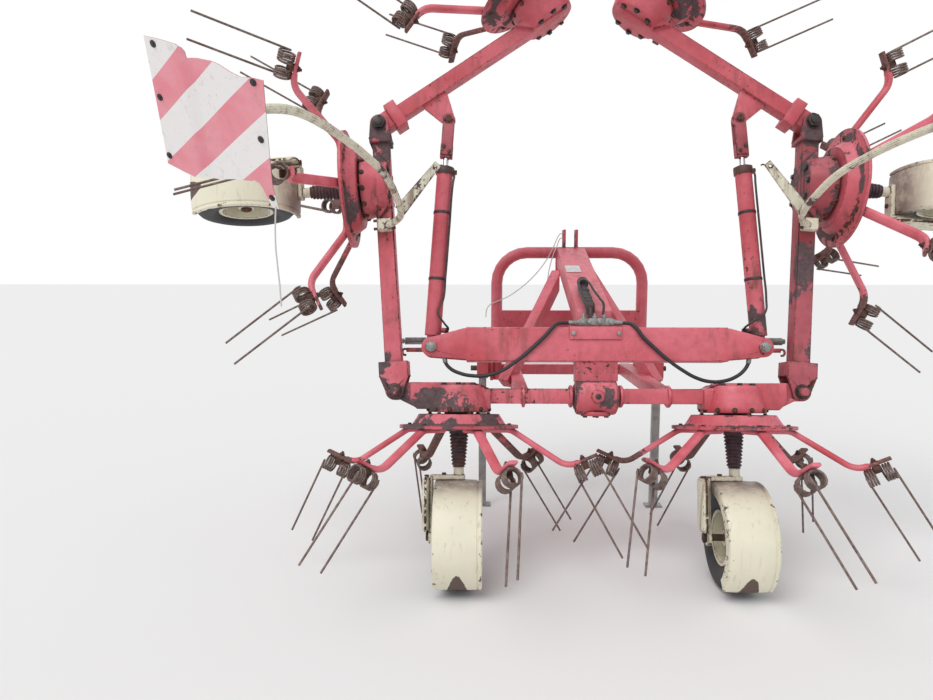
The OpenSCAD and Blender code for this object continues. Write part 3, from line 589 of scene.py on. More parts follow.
def guard_paint(name):
    """Cream paint that is dirty on top, chipped along its edges and rusted in an arch at its lower end, by its own UV."""
    made, tree, shader, place = blank(name)
    where = place.outputs["Object"]
    tone = colours()
    across, down, _ = put(tree, "SeparateXYZ", Vector=place.outputs["UV"]).outputs
    grain = noise(tree, where, 46, 6, 0.68)
    wide = sums(tree, "ABSOLUTE", sums(tree, "SUBTRACT", across, 0.5), 0)
    edge = ramp(tree, wide, 0.36, 0.5, 0.0, 0.13)
    arch = sums(tree, "ADD", sums(tree, "MULTIPLY", sums(tree, "MULTIPLY", wide, wide), -9.0), sums(tree, "MULTIPLY", sums(tree, "SUBTRACT", down, 0.84), 2.6))
    low = ramp(tree, arch, -0.02, 0.08, 0.0, 0.45)
    clean = tuple(min(1, c * 1.08) for c in tone.cream)
    base = mixed(tree, ramp(tree, noise(tree, where, 5, 4), 0.35, 0.7), tone.cream[:], clean)
    soot = sums(tree, "MULTIPLY", ramp(tree, down, 0.36, 0.16), ramp(tree, noise(tree, where, 17, 6, 0.7), 0.25, 0.6, 0.15, 0.85))
    base = mixed(tree, soot, base, srgb(128, 116, 112))
    streaks = ramp(tree, noise(tree, stretched(tree, where, (60, 60, 5)), 1.0, 4), 0.55, 0.75, 0.0, 0.3)
    base = mixed(tree, streaks, base, srgb(150, 116, 92))
    bare = ramp(tree, sums(tree, "ADD", sums(tree, "ADD", grain, edge), low), 0.70, 0.735)
    base = mixed(tree, bare, base, mixed(tree, noise(tree, where, 90, 4), srgb(112, 92, 84), srgb(88, 74, 72)))
    tree.links.new(base, shader.inputs["Base Color"])
    tree.links.new(ramp(tree, bare, 0, 1, 0.42, 0.88), shader.inputs["Roughness"])
    tree.links.new(relief(tree, sums(tree, "SUBTRACT", sums(tree, "MULTIPLY", grain, 0.4), bare), 0.4, 0.0008), shader.inputs["Normal"])
    return made


def plain_cord(name, tone, scale, rough):
    """Rope or hose skin with a fine twist."""
    made, tree, shader, place = blank(name)
    where = place.outputs["Object"]
    strands = noise(tree, where, scale, 3)
    tree.links.new(mixed(tree, strands, tone, tuple(c * 0.6 for c in tone)), shader.inputs["Base Color"])
    shader.inputs["Roughness"].default_value = rough
    tree.links.new(relief(tree, strands, 0.4, 0.0006), shader.inputs["Normal"])
    return made


PAINTS = {}


def paint(name):
    """A finish, made at its first use."""
    if name not in PAINTS:
        tone = colours()
        red, faded, cream = tone.red[:], tone.faded[:], tone.cream[:]
        PAINTS[name] = {
            "red": lambda: worn_paint("Faded red", red, faded, 0.45, 0.5, 0.5),
            "greasy red": lambda: worn_paint("Greasy red", red, faded, 0.8, 0.9, 0.9, 0.5, 0.13),
            "housing red": lambda: worn_paint("Housing red", red, faded, 0.6, 0.8, 0.7, 0.45, 0.25, [("X", -0.40, -0.55)]),
            "plate red": lambda: worn_paint("Rotor plate red", red, faded, 0.7, 0.8, 0.8, 0.5, 0.205),
            "foot red": lambda: worn_paint("Wing foot red", red, faded, 0.8, 0.8, 1.0, 0.5, 0.24, [("Z", 1.25, 0.75), ("Z", 1.62, 1.80)]),
            "dull red": lambda: worn_paint("Dull red", tuple(c * 0.62 for c in red), tuple(c * 0.66 for c in faded), 0.8, 0.8, 0.9, 0.55, 0.17, [("Z", 0.86, 0.98)]),
            "fork red": lambda: worn_paint("Fork red", tuple(c * 0.6 for c in red), tuple(c * 0.6 for c in faded), 1.0, 0.8, 0.9, 0.6, 0.10),
            "bow red": lambda: worn_paint("Bow red", red, tuple(c * 0.9 for c in faded), 0.35, 0.3, 0.4),
            "cream": lambda: worn_paint("Chipped cream", cream, tuple(min(1, c * 1.08) for c in cream), 0.5, 0.6, 1.0, 0.5),
            "limb": lambda: limb_paint("Limb paint"),
            "guard": lambda: guard_paint("Guard paint"),
            "carrier": lambda: worn_paint("Carrier cream", cream, tuple(c * 0.92 for c in cream), 0.8, 0.5, 0.9, 0.5, 0.13, [("Z", 1.78, 1.58)]),
            "sleeve": lambda: rusty_steel("Perished sleeve", srgb(84, 62, 70), srgb(44, 34, 42), 40, 0.7, 0.0),
            "plate": lambda: bright_steel("Blank plate", srgb(226, 226, 226), 0.45, 0.0, 0.25),
            "spring": lambda: rusty_steel("Spring steel", srgb(138, 120, 112), srgb(92, 76, 76), 60, 0.6, 0.3),
            "rust": lambda: rusty_steel("Rusty steel", srgb(112, 78, 64), srgb(62, 48, 46), 34),
            "dish red": lambda: worn_paint("Dish red", red, faded, 0.7, 0.5, 0.8, 0.5, 0.12),
            "barrel red": lambda: worn_paint("Barrel red", red, faded, 0.8, 0.8, 0.9, 0.5, 0.27, [("Z", 1.45, 1.0)]),
            "grease": lambda: rusty_steel("Greasy steel", srgb(70, 60, 60), srgb(38, 34, 38), 26, 0.5, 0.3),
            "zinc": lambda: bright_steel("Galvanised steel", tone.zinc[:], 0.48, 0.75),
            "chrome": lambda: bright_steel("Chromed rod", tone.chrome[:], 0.2, 1.0, 0.15),
            "rubber": lambda: weathered_rubber("Tyre rubber"),
            "board": lambda: board_sheet("Warning stripes"),
            "hose": lambda: plain_cord("Hose rubber", tone.rubber[:], 240, 0.55),
            "rope": lambda: plain_cord("Rope", tone.rope[:], 400, 0.9),
        }[name]()
    return PAINTS[name]


# Operators

class TEDDER_OT_stage(bpy.types.Operator):
    """Pale floor, soft light and the photo's camera"""

    bl_idname = "tedder.stage"
    bl_label = "Stage and camera"

    def execute(self, context):
        scene = context.scene
        scene.view_settings.view_transform = "Standard"
        camera = bpy.data.objects.new("Camera", bpy.data.cameras.new("Camera"))
        scene.collection.objects.link(camera)
        camera.location = (-0.468, -3.096, 1.307)
        camera.rotation_euler = (math.radians(83.32), 0, math.radians(1.16))
        camera.data.lens = 28.75
        camera.data.sensor_width = 36
        scene.camera = camera
        world = bpy.data.worlds.new("Overcast")
        scene.world = world
        world.use_nodes = True
        tree = world.node_tree
        background = tree.nodes["Background"]
        rays = put(tree, "LightPath").outputs
        seen = sums(tree, "MAXIMUM", sums(tree, "MAXIMUM", rays["Is Camera Ray"], rays["Is Glossy Ray"]), rays["Is Transmission Ray"])
        tree.links.new(ramp(tree, seen, 0, 1, 0.62, 1.0), background.inputs["Strength"])
        background.inputs["Color"].default_value = (1, 1, 1, 1)
        sun = bpy.data.objects.new("Sky light", bpy.data.lights.new("Sky light", "SUN"))
        scene.collection.objects.link(sun)
        sun.rotation_euler = (math.radians(32), math.radians(-22), 0)
        sun.data.energy = 1.5
        sun.data.angle = math.radians(40)
        floor = primitive("plane", "Floor", size=60)
        floor.data.transform(at(0, 12, -0.001))
        made, tree, shader, _ = blank("Pale floor")
        shader.inputs["Base Color"].default_value = (0.86, 0.86, 0.86, 1)
        shader.inputs["Roughness"].default_value = 1
        shader.inputs["Specular IOR Level"].default_value = 0
        floor.data.materials.append(made)
        return {"FINISHED"}


# The node's finish, its slot, and the width of its rounded edges
STEELWORK = {
    "main_beam": ("red", "red_paint", 0.003),
    "frame_left": ("housing red", "red_paint", 0.003), "frame_right": ("red", "red_paint", 0.003),
    "mast": ("red", "red_paint", 0.004), "braces": ("red", "red_paint", 0.004),
    "headstock": ("bow red", "red_paint", 0.002), "hitch_pins": ("rust", "bare_steel", 0.002),
    "top_link": ("greasy red", "red_paint", 0.002),
    "stand_left": ("zinc", "galvanised", 0.002), "stand_right": ("zinc", "galvanised", 0.002),
    "wing_left": ("foot red", "red_paint", 0.003), "wing_right": ("dull red", "red_paint", 0.003),
    "tip_left": ("red", "red_paint", 0.003), "tip_right": ("red", "red_paint", 0.003),
    "barrel_left": ("red", "red_paint", 0.001), "barrel_right": ("barrel red", "red_paint", 0.001),
}


class TEDDER_OT_steelwork(bpy.types.Operator):
    """Frame, wings, headstock and cylinders with rounded edges and their worn finishes"""

    bl_idname = "tedder.steelwork"
    bl_label = "Steelwork"

    def execute(self, context):
        for node, (finish, slot, width) in STEELWORK.items():
            obj = copied(NODES[node], node + "_worn", Matrix.Identity(4))
            obj.parent = None
            for key in [k for k in obj.keys() if k.startswith("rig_")]:
                del obj[key]
            edit(obj, "VERT")
            bpy.ops.mesh.select_all(action="SELECT")
            bpy.ops.mesh.remove_doubles(threshold=0.00002)
            bpy.ops.mesh.dissolve_limited(angle_limit=math.radians(0.5))
            bpy.ops.mesh.quads_convert_to_tris()
            finish_edit()
            round_edges(obj, width)
            smooth(obj, 32)
            settle(obj, BODY_OF[node], paint(finish), [node])
        return {"FINISHED"}


class TEDDER_OT_rotors(bpy.types.Operator):
    """Pressed rotor plates, smoothed and painted; their bolts are added with the fasteners."""

    bl_idname = "tedder.rotors"
    bl_label = "Rotor plates"

    def execute(self, context):
        for side in SIDES:
            for place in PLACES:
                node = f"rotor_{side}_{place}"
                obj = copied(NODES[node], node + "_plate", Matrix.Identity(4))
                obj.parent = None
                for key in [k for k in obj.keys() if k.startswith("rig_")]:
                    del obj[key]
                edit(obj, "VERT")
                bpy.ops.mesh.select_all(action="SELECT")
                bpy.ops.mesh.remove_doubles(threshold=0.00002)
                finish_edit()
                smooth(obj, 32)
                settle(obj, BODY_OF[node], paint("plate red" if node == "rotor_left_1" else "dish red"), [node])
        return {"FINISHED"}


ARM_ROOT = (0.10, -0.0163)
ARM_KNEE = 0.215
ARM_BEND = (0.442, -0.162)
ARM_TAIL = (0.560, -0.110)


def bent(corner, slope_in, slope_out, radius, steps):
    """Points and slopes round a corner of the limb."""
    way = math.copysign(1, slope_out - slope_in)
    back = radius * math.tan(abs(slope_out - slope_in) / 2)
    start = Vector(corner) - back * Vector((math.cos(slope_in), math.sin(slope_in)))
    middle = start + way * radius * Vector((-math.sin(slope_in), math.cos(slope_in)))
    turns = [slope_in + (slope_out - slope_in) * k / steps for k in range(steps + 1)]
    return [(middle + way * radius * Vector((math.sin(t), -math.cos(t))), t) for t in turns]


def limb_shape():
    """One bent oval limb, drawn from the plate outwards in the plane of X and Z."""
    knee_slope = math.atan2(ARM_BEND[1] - ARM_ROOT[1], ARM_BEND[0] - ARM_KNEE)
    tail_slope = math.atan2(ARM_TAIL[1] - ARM_BEND[1], ARM_TAIL[0] - ARM_BEND[0])
    wide, thick, flat = 0.040, 0.024, 0.014
    stations = [(Vector(ARM_ROOT), 0.0, wide, thick)]
    stations += [(p, t, wide, thick) for p, t in bent((ARM_KNEE, ARM_ROOT[1]), 0, knee_slope, 0.06, 4)]
    stations += [(p, t, wide, thick) for p, t in bent(ARM_BEND, knee_slope, tail_slope, 0.08, 6)]
    way = Vector((math.cos(tail_slope), math.sin(tail_slope)))
    stations += [(Vector(ARM_BEND) + 0.052 * way, tail_slope, wide, flat), (Vector(ARM_TAIL), tail_slope, wide - 0.004, flat)]
    obj = primitive("circle", "Limb", vertices=20, radius=0.5, fill_type="NGON", location=(0, 0, 0))
    edit(obj)
    bpy.ops.mesh.select_all(action="SELECT")
    mesh = bmesh.from_edit_mesh(obj.data)
    around = mesh.verts.layers.float.new("around")
    mesh.verts.layers.float.new("reach")
    for vertex in mesh.verts:
        vertex[around] = math.atan2(vertex.co.y, vertex.co.x)
    bmesh.update_edit_mesh(obj.data)
    for i, (point, slope, width, height) in enumerate(stations):
        if i:
            bpy.ops.mesh.extrude_region_move()
        mesh = bmesh.from_edit_mesh(obj.data)
        around, reach = mesh.verts.layers.float["around"], mesh.verts.layers.float["reach"]
        place = at(point.x, 0, point.y) @ turn(-slope, "Y")
        for vertex in [v for v in mesh.verts if v.select]:
            side, lift = math.cos(vertex[around]), math.sin(vertex[around])
            straight = (width - height) / 2 * max(-1, min(1, 3 * side))
            vertex.co = place @ Vector((0, straight + height / 2 * side, height / 2 * lift))
            vertex[reach] = min(1.0, max(0.0, (point.x - 0.24) / 0.3))
        bmesh.update_edit_mesh(obj.data)
    bpy.ops.mesh.select_all(action="SELECT")
    bpy.ops.mesh.normals_make_consistent(inside=False)
    finish_edit()
    return smooth(obj, 50), tail_slope


class TEDDER_OT_arms(bpy.types.Operator):
    """Bent oval arms with their clamped pairs of coiled spring tines"""

    bl_idname = "tedder.arms"
    bl_label = "Arms and spring tines"

    def tine(self, hand, slope):
        """Both coils of one arm and their tines, wound from the clamp outwards."""
        size = sizes()
        radius = size.coil_radius - size.wire / 2
        pitch = size.wire * 1.15
        middle = ARM_TAIL_MIDDLE
        drop = 0.007 + 0.002 + size.coil_radius
        made = []
        for end in (-1, 1):
            near, turns = end * (0.033 - 2 * pitch), 4
            points = [(middle + end * 0.004, 0, -drop + radius), (middle + near - end * 0.004, 0, -drop + radius)]
            for k in range(turns * 14 - 2):
                angle = math.radians(90) + hand * k * math.tau / 14
                points.append((middle + near + end * pitch * k / 14, radius * math.cos(angle), -drop + radius * math.sin(angle)))
            foot = Vector(points[-1])
            lean = turn(slope - math.radians(30), "Y") @ turn(math.radians(-hand * 15), "X")
            points += [tuple(foot + (lean.to_3x3() @ Vector((0, 0, -size.tine_length * share)))) for share in (0.06, 0.5, 1.0)]
            made.append(tube(f"tine_{end}", points, size.wire / 2, rounded=False, sides=2))
        return joined(made, "Tine pattern")

    def clamp(self):
        """Clamp plate, its bolt and nut."""
        middle = ARM_TAIL_MIDDLE
        plate = block("Clamp", (middle - 0.014, -0.014, -0.036), (middle + 0.014, 0.014, -0.006))
        round_edges(plate, 0.003)
        washer = round_bar("Washer", (middle, 0, 0.006), (middle, 0, 0.0095), 0.013, 20)
        nut = round_bar("Nut", (middle, 0, 0.009), (middle, 0, 0.0165), 0.0105, 6)
        round_edges(nut, 0.001)
        stud = round_bar("Stud", (middle, 0, 0.016), (middle, 0, 0.023), 0.0055, 12)
        return smooth(joined([plate, washer, nut, stud], "Clamp pattern"))

    def execute(self, context):
        limb, slope = limb_shape()
        tail = at(ARM_BEND[0], 0, ARM_BEND[1]) @ turn(-slope, "Y")
        clamp = self.clamp()
        tines = {hand: self.tine(hand, slope) for hand in (-1, 1)}
        for side in SIDES:
            for place in PLACES:
                first, hand = ARM_TURN[side, place]
                rotor = at_rotor(side, place)
                spokes = [rotor @ turn(math.radians(first + 60 * k), "Z") for k in range(6)]
                body = f"rotor_{side}_{place}"
                for pattern, name, finish, slot, extra, old in (
                    (limb, "limbs", "limb", "arm_brown", Matrix.Identity(4), [f"arms_{side}_{place}"]),
                    (tines[hand], "tines", "spring", "spring_steel", tail, []),
                    (clamp, "clamps", "rust", "bare_steel", tail, []),
                ):
                    parts = [copied(pattern, "part", spoke @ extra) for spoke in spokes]
                    if pattern == limb:
                        for k, part in enumerate(parts):
                            # Arms that point back get a higher reach, so their brown starts nearer the plate.
                            to_back = math.sin(math.radians(first + 60 * k))
                            for value in part.data.attributes["reach"].data:
                                value.value += 0.75 * to_back - 0.15
                    settle(joined(parts, f"{name}_{side}_{place}"), body, paint(finish), old)
        for pattern in (limb, clamp, *tines.values()):
            bpy.data.objects.remove(pattern)
        return {"FINISHED"}


ARM_TAIL_MIDDLE = 0.0685


class TEDDER_OT_wheels(bpy.types.Operator):
    """Ribbed tyres; the rims, with hub and nuts, painted cream"""

    bl_idname = "tedder.wheels"
    bl_label = "Wheels"

    def tyre(self):
        """A ribbed implement tyre about the X axis: one outline, spun, with its shoulder blocks pressed in."""
        size = sizes()
        half, out, bead = size.tyre_width / 2, size.tyre_radius, size.rim_radius - 0.011
        rim_half = 0.062
        quarter = [(bead, rim_half - 0.004), (size.rim_radius + 0.001, rim_half - 0.004), (size.rim_radius + 0.006, rim_half + 0.005),
            (out - 0.070, half - 0.004), (out - 0.052, half), (out - 0.034, half - 0.001), (out - 0.018, half - 0.006),
            (out - 0.006, half - 0.018), (out - 0.002, half - 0.030), (out - 0.001, half - 0.034), (out - 0.008, half - 0.036),
            (out - 0.008, half - 0.042), (out - 0.0005, half - 0.044), (out, half - 0.060), (out - 0.008, half - 0.062),
            (out - 0.008, half - 0.068), (out, half - 0.070)]
        outline = [(-w, 0, r) for r, w in quarter] + [(w, 0, r) for r, w in reversed(quarter)]
        obj = spun("Tyre pattern", outline + outline[:1], 56, (1, 0, 0))
        edit(obj)

        def groove(face):
            middle = face.calc_center_median()
            spoke = round(math.atan2(middle.y, middle.z) / math.tau * 56 - 0.5) % 4
            radius = math.hypot(middle.y, middle.z)
            return spoke == 0 and radius > out - 0.026 and abs(middle.x) > half - 0.033
        select(obj, "faces", groove)
        bpy.ops.mesh.extrude_region_shrink_fatten(TRANSFORM_OT_shrink_fatten={"value": -0.006})
        finish_edit()
        return smooth(obj, 40)

    def execute(self, context):
        tyre = self.tyre()
        for side in SIDES:
            for place in PLACES:
                axle = at_rotor(side, place) @ at(0, 0, -layout().axle_drop)
                body = f"wheel_{side}_{place}"
                settle(copied(tyre, f"tyre_{side}_{place}_tread", axle), body, paint("rubber"), [f"tyre_{side}_{place}"])
                rim = NODES[f"rim_{side}_{place}"]
                rim.data.materials.clear()
                rim.data.materials.append(paint("cream"))
        bpy.data.objects.remove(tyre)
        return {"FINISHED"}


class TEDDER_OT_legs(bpy.types.Operator):
    """Ribbed sleeves, cranked wheel legs and their sheet guards"""

    bl_idname = "tedder.legs"
    bl_label = "Wheel legs and guards"

    def sleeve(self):
        """A tapering rubber sleeve with ten rings, hollow at its lower end."""
        outline = [(0.012, 0, -0.0203), (0.040, 0, -0.0203)]
        for k in range(10):
            top, wide = -0.026 - 0.014 * k, 0.039 - 0.0012 * k
            outline += [(wide, 0, top), (wide + 0.001, 0, top - 0.007), (wide - 0.005, 0, top - 0.0095), (wide - 0.005, 0, top - 0.0125)]
        outline += [(0.026, 0, -0.168), (0.023, 0, -0.168), (0.012, 0, -0.160)]
        return smooth(spun("Sleeve pattern", outline + outline[:1], 32, (0, 0, 1)), 30)

    def guard(self):
        """A bent sheet over the tyre, deep along the leg and rolled along its free edge; its UV runs across and down."""
        size = sizes()
        out, half = size.tyre_radius + size.guard_gap, size.guard_width / 2
        across = [
            (-half, out - 0.046), (-half, out - 0.026), (-half, out - 0.007), (-half + 0.002, out - 0.002), (-half + 0.007, out),
            (-0.055, out + 0.0015), (-0.02, out + 0.0025), (0.02, out + 0.0025), (0.052, out + 0.001), (half - 0.021, out),
            (half - 0.018, out - 0.004), (half - 0.014, out - 0.004), (half - 0.011, out), (half - 0.004, out), (half, out - 0.004),
            (half, out - 0.013), (half - 0.005, out - 0.016),
        ]
        first = math.radians(80)
        obj = spun("Guard pattern", [(w, r * math.cos(first), r * math.sin(first)) for w, r in across], 30, (-1, 0, 0), math.radians(155))
        uv = obj.data.uv_layers.new(name="UVMap")
        for loop in obj.data.loops:
            x, y, z = obj.data.vertices[loop.vertex_index].co
            uv.data[loop.index].uv = (x / half / 2 + 0.5, (math.atan2(z, y) % math.tau - first) / math.radians(155))
        modify(obj, "SOLIDIFY", thickness=0.0028, offset=0)
        return smooth(obj, 40)

    def crank(self):
        """The arm over the tyre, the plate down to the axle with its boss, its bent cover and the stem; the stub axle
        and the bolts are in the axle pattern.
        """
        parts = [
            block("Arm", (-0.116, -0.026, -0.2195), (0.026, 0.026, -0.2005)),
            block("Plate", (-0.116, -0.028, -0.474), (-0.104, 0.028, -0.205)),
            round_bar("Boss", (-0.120, 0, -0.446), (-0.1035, 0, -0.446), 0.033, 28),
            block("Cover", (-0.146, -0.062, -0.425), (-0.1165, 0.040, -0.206)),
            round_bar("Stem", (0, 0, -0.205), (0, 0, -0.160), 0.021, 24),
        ]
        for part, width in zip(parts, (0.004, 0.004, 0.003, 0.019, 0.002)):
            round_edges(part, width, segments=3)
        return smooth(joined(parts, "Crank pattern"), 40)

    def axle(self):
        parts = [
            round_bar("Stub", (-0.124, 0, -0.446), (0.062, 0, -0.446), sizes().axle, 24),
            round_bar("Hub nut", (0.049, 0, -0.446), (0.0585, 0, -0.446), 0.024, 6),
            round_bar("Axle nut", (-0.132, 0, -0.446), (-0.120, 0, -0.446), 0.022, 6),
            round_bar("Cover bolt", (-0.130, -0.012, -0.200), (-0.130, -0.012, -0.207), 0.011, 6),
            round_bar("Guard bolt 1", (-0.06, 0.0, -0.2025), (-0.06, 0.0, -0.192), 0.010, 6),
            round_bar("Guard bolt 2", (0.012, 0.0, -0.2025), (0.012, 0.0, -0.192), 0.010, 6),
        ]
        for part in parts:
            round_edges(part, 0.001)
        return smooth(joined(parts, "Axle pattern"))

    def execute(self, context):
        patterns = [
            (self.sleeve(), "sleeve", "sleeve", "dark_steel", Matrix.Identity(4), ()),
            (self.guard(), "guard", "guard", "cream_paint", at(0, 0, -layout().axle_drop), ()),
            (self.crank(), "crank", "cream", "cream_paint", Matrix.Identity(4), ("leg_{}_{}",)),
            (self.axle(), "axle", "rust", "bare_steel", Matrix.Identity(4), ()),
        ]
        for side in SIDES:
            for place in PLACES:
                rotor = at_rotor(side, place)
                for pattern, name, finish, slot, shift, old in patterns:
                    piece = copied(pattern, f"{name}_{side}_{place}", rotor @ shift)
                    settle(piece, BODY_OF[f"leg_{side}_{place}"], paint(finish), [n.format(side, place) for n in old])
        for pattern in patterns:
            bpy.data.objects.remove(pattern[0])
        return {"FINISHED"}


BOARD_AT = (-0.079, -0.951, -0.371)
BOARD_TURN = (16.6, -57.6, -152)
# The sheet's outline, its lower edge torn out beside the right-hand corner
BOARD_EDGE = (
    (-0.213, 0.198), (-0.160, 0.205), (-0.087, 0.2110), (-0.068, 0.206), (-0.060, 0.196), (-0.058, 0.178), (-0.020, 0.188),
    (0.032, 0.196), (0.062, 0.195), (0.100, 0.186), (0.134, 0.182), (0.180, 0.192), (0.213, 0.194), (0.213, -0.213),
    (0.189, -0.213), (0.180, -0.185), (0.170, -0.150), (0.160, -0.132), (0.142, -0.130), (0.128, -0.138), (0.060, -0.158),
    (-0.010, -0.186), (-0.070, -0.200), (-0.105, -0.209), (-0.150, -0.206), (-0.213, -0.198),
)
CARRIER = (
    (-180, -27, 9), (-178, -77, 49), (-167, -145, 81), (-124, -250, 76), (-79, -373, 52), (-51, -511, 5), (-37, -644, -43),
    (-36, -784, -89), (-46, -905, -130), (-63, -979, -157), (-74, -1014, -177), (-81, -1032, -200), (-83, -1034, -225),
    (-80, -1024, -252), (-75, -1003, -284), (-74, -976, -317), (-74, -954, -344),
)


def board_bend(x, y):
    """How far the sheet is bent at a place: a wave, a raised strip beside a crease, and a curled corner."""
    crease = max(0.0, min(1.0, (-0.045 - x) / 0.03))
    curl = max(0.0, -0.12 - y) * max(0.0, x - 0.05) / 0.15
    return -0.007 * math.sin(9 * x + 3 * y) - 0.004 - 0.012 * crease + 0.2 * curl


class TEDDER_OT_boards(bpy.types.Operator):
    """Bent and torn warning boards on their tubes, arms and clamps"""

    bl_idname = "tedder.boards"
    bl_label = "Warning boards"

    def sheet(self, offset):
        """Half the thickness of the sheet, cut to the torn outline and bent."""
        obj = primitive("grid", "Sheet", x_subdivisions=28, y_subdivisions=28, size=sizes().board)
        modify(obj, "SOLIDIFY", thickness=0.0015, offset=offset)
        mesh = bpy.data.meshes.new("Outline")
        count = len(BOARD_EDGE)
        mesh.from_pydata([(x, y, -0.02) for x, y in BOARD_EDGE], [(i, (i + 1) % count) for i in range(count)], [])
        cutter = bpy.data.objects.new("Outline", mesh)
        bpy.context.scene.collection.objects.link(cutter)
        edit(cutter, "VERT")
        bpy.ops.mesh.select_all(action="SELECT")
        bpy.ops.mesh.edge_face_add()
        bpy.ops.mesh.extrude_region_move(TRANSFORM_OT_translate={"value": (0, 0, 0.04)})
        bpy.ops.mesh.select_all(action="SELECT")
        bpy.ops.mesh.normals_make_consistent(inside=False)
        finish_edit()
        modify(obj, "BOOLEAN", operation="INTERSECT", object=cutter, solver="EXACT")
        bpy.data.objects.remove(cutter)
        edit(obj, "VERT")
        mesh = bmesh.from_edit_mesh(obj.data)
        for vertex in mesh.verts:
            x, y = vertex.co.x, vertex.co.y
            vertex.co.z += board_bend(x, y)
        bmesh.update_edit_mesh(obj.data)
        finish_edit()
        return smooth(obj, 30)

    def execute(self, context):
        turned = at(*BOARD_AT) @ turn(math.radians(BOARD_TURN[2]), "Z") @ turn(math.radians(BOARD_TURN[1]), "Y") @ turn(math.radians(BOARD_TURN[0]), "X")
        carrier = tube("Carrier", [tuple(c / 1000 for c in point) for point in CARRIER], 0.014, sides=4)
        low, high = Vector((-0.150, -0.153, 0.085)), Vector((0.006, -0.188, 0.238))
        length = (high - low).length
        along = Matrix.Translation(low) @ (high - low).to_track_quat("X", "Z").to_matrix().to_4x4()
        arm = block("Flat arm", (-0.01, -0.004, -0.024), (length + 0.008, 0.004, 0.024))
        edit(arm)
        select(arm, "faces", lambda face: face.normal.x > 0.9)
        bpy.ops.transform.resize(value=(1, 1, 0.6), center_override=(length, 0, 0))
        finish_edit()
        hole = round_bar("Hole", (length - 0.012, -0.02, 0), (length - 0.012, 0.02, 0), 0.007)
        modify(arm, "BOOLEAN", operation="DIFFERENCE", object=hole, solver="EXACT")
        bpy.data.objects.remove(hole)
        round_edges(arm, 0.002)
        arm.data.transform(along)
        clamp = block("Clamp", (-0.200, -0.040, -0.030), (-0.150, -0.0003, 0.030))
        round_edges(clamp, 0.004)
        strap = block("Board strap", (-0.050, -0.022, 0.0045), (0.060, 0.022, 0.0085))
        strap.data.transform(turned)
        round_edges(strap, 0.001)
        steel = [
            *[round_bar("Clamp bolt", (x, y, -0.044), (x, y, 0.046), 0.006, 12) for x in (-0.192, -0.158) for y in (-0.032, )],
            round_bar("Pivot bolt", (-0.150, -0.170, 0.085), (-0.150, -0.134, 0.085), 0.009, 6),
            tube("Wire pin", [(-0.004, -0.206, 0.226), (-0.004, -0.176, 0.226), (0.004, -0.168, 0.232), (0.010, -0.170, 0.252), (0.004, -0.178, 0.262)], 0.003, sides=2),
        ]
        bolts = []
        for x, y in ((-0.177, 0.186), (-0.192, 0.025), (-0.198, -0.166), (0.179, 0.180), (0.187, 0.018), (0.198, -0.171)):
            lift = board_bend(x, y)
            ring = round_bar("Washer", (x, y, lift - 0.0042), (x, y, lift - 0.0013), 0.0105, 20)
            head = round_bar("Head", (x, y, lift - 0.0075), (x, y, lift - 0.004), 0.0055, 12)
            for part in (ring, head):
                round_edges(part, 0.0007)
                part.data.transform(turned)
            bolts += [ring, head]
        front, back = self.sheet(-1), self.sheet(1)
        for part in (front, back):
            part.data.transform(turned)
        patterns = [
            (front, "board_stripes", "board", "board_sheet"), (back, "board_back", "zinc", "galvanised"),
            (smooth(joined([carrier, arm, clamp, strap], "Carrier pattern"), 40), "board_carrier", "carrier", "cream_paint"),
            (smooth(joined(steel, "Pin pattern"), 40), "board_pins", "rust", "bare_steel"),
            (smooth(joined(bolts, "Washer pattern"), 40), "board_washers", "rubber", "tyre_rubber"),
        ]
        for side, sign in SIDES.items():
            place = on_wing(sign) @ mirrored(sign) @ at(layout().pitch * 1.5, -0.035, layout().hinge_up)
            for pattern, name, finish, slot in patterns:
                old = [f"board_{side}"] if name == "board_carrier" else []
                settle(copied(pattern, f"{name}_{side}", place), BODY_OF[f"board_{side}"], paint(finish), old)
        for pattern in patterns:
            bpy.data.objects.remove(pattern[0])
        return {"FINISHED"}


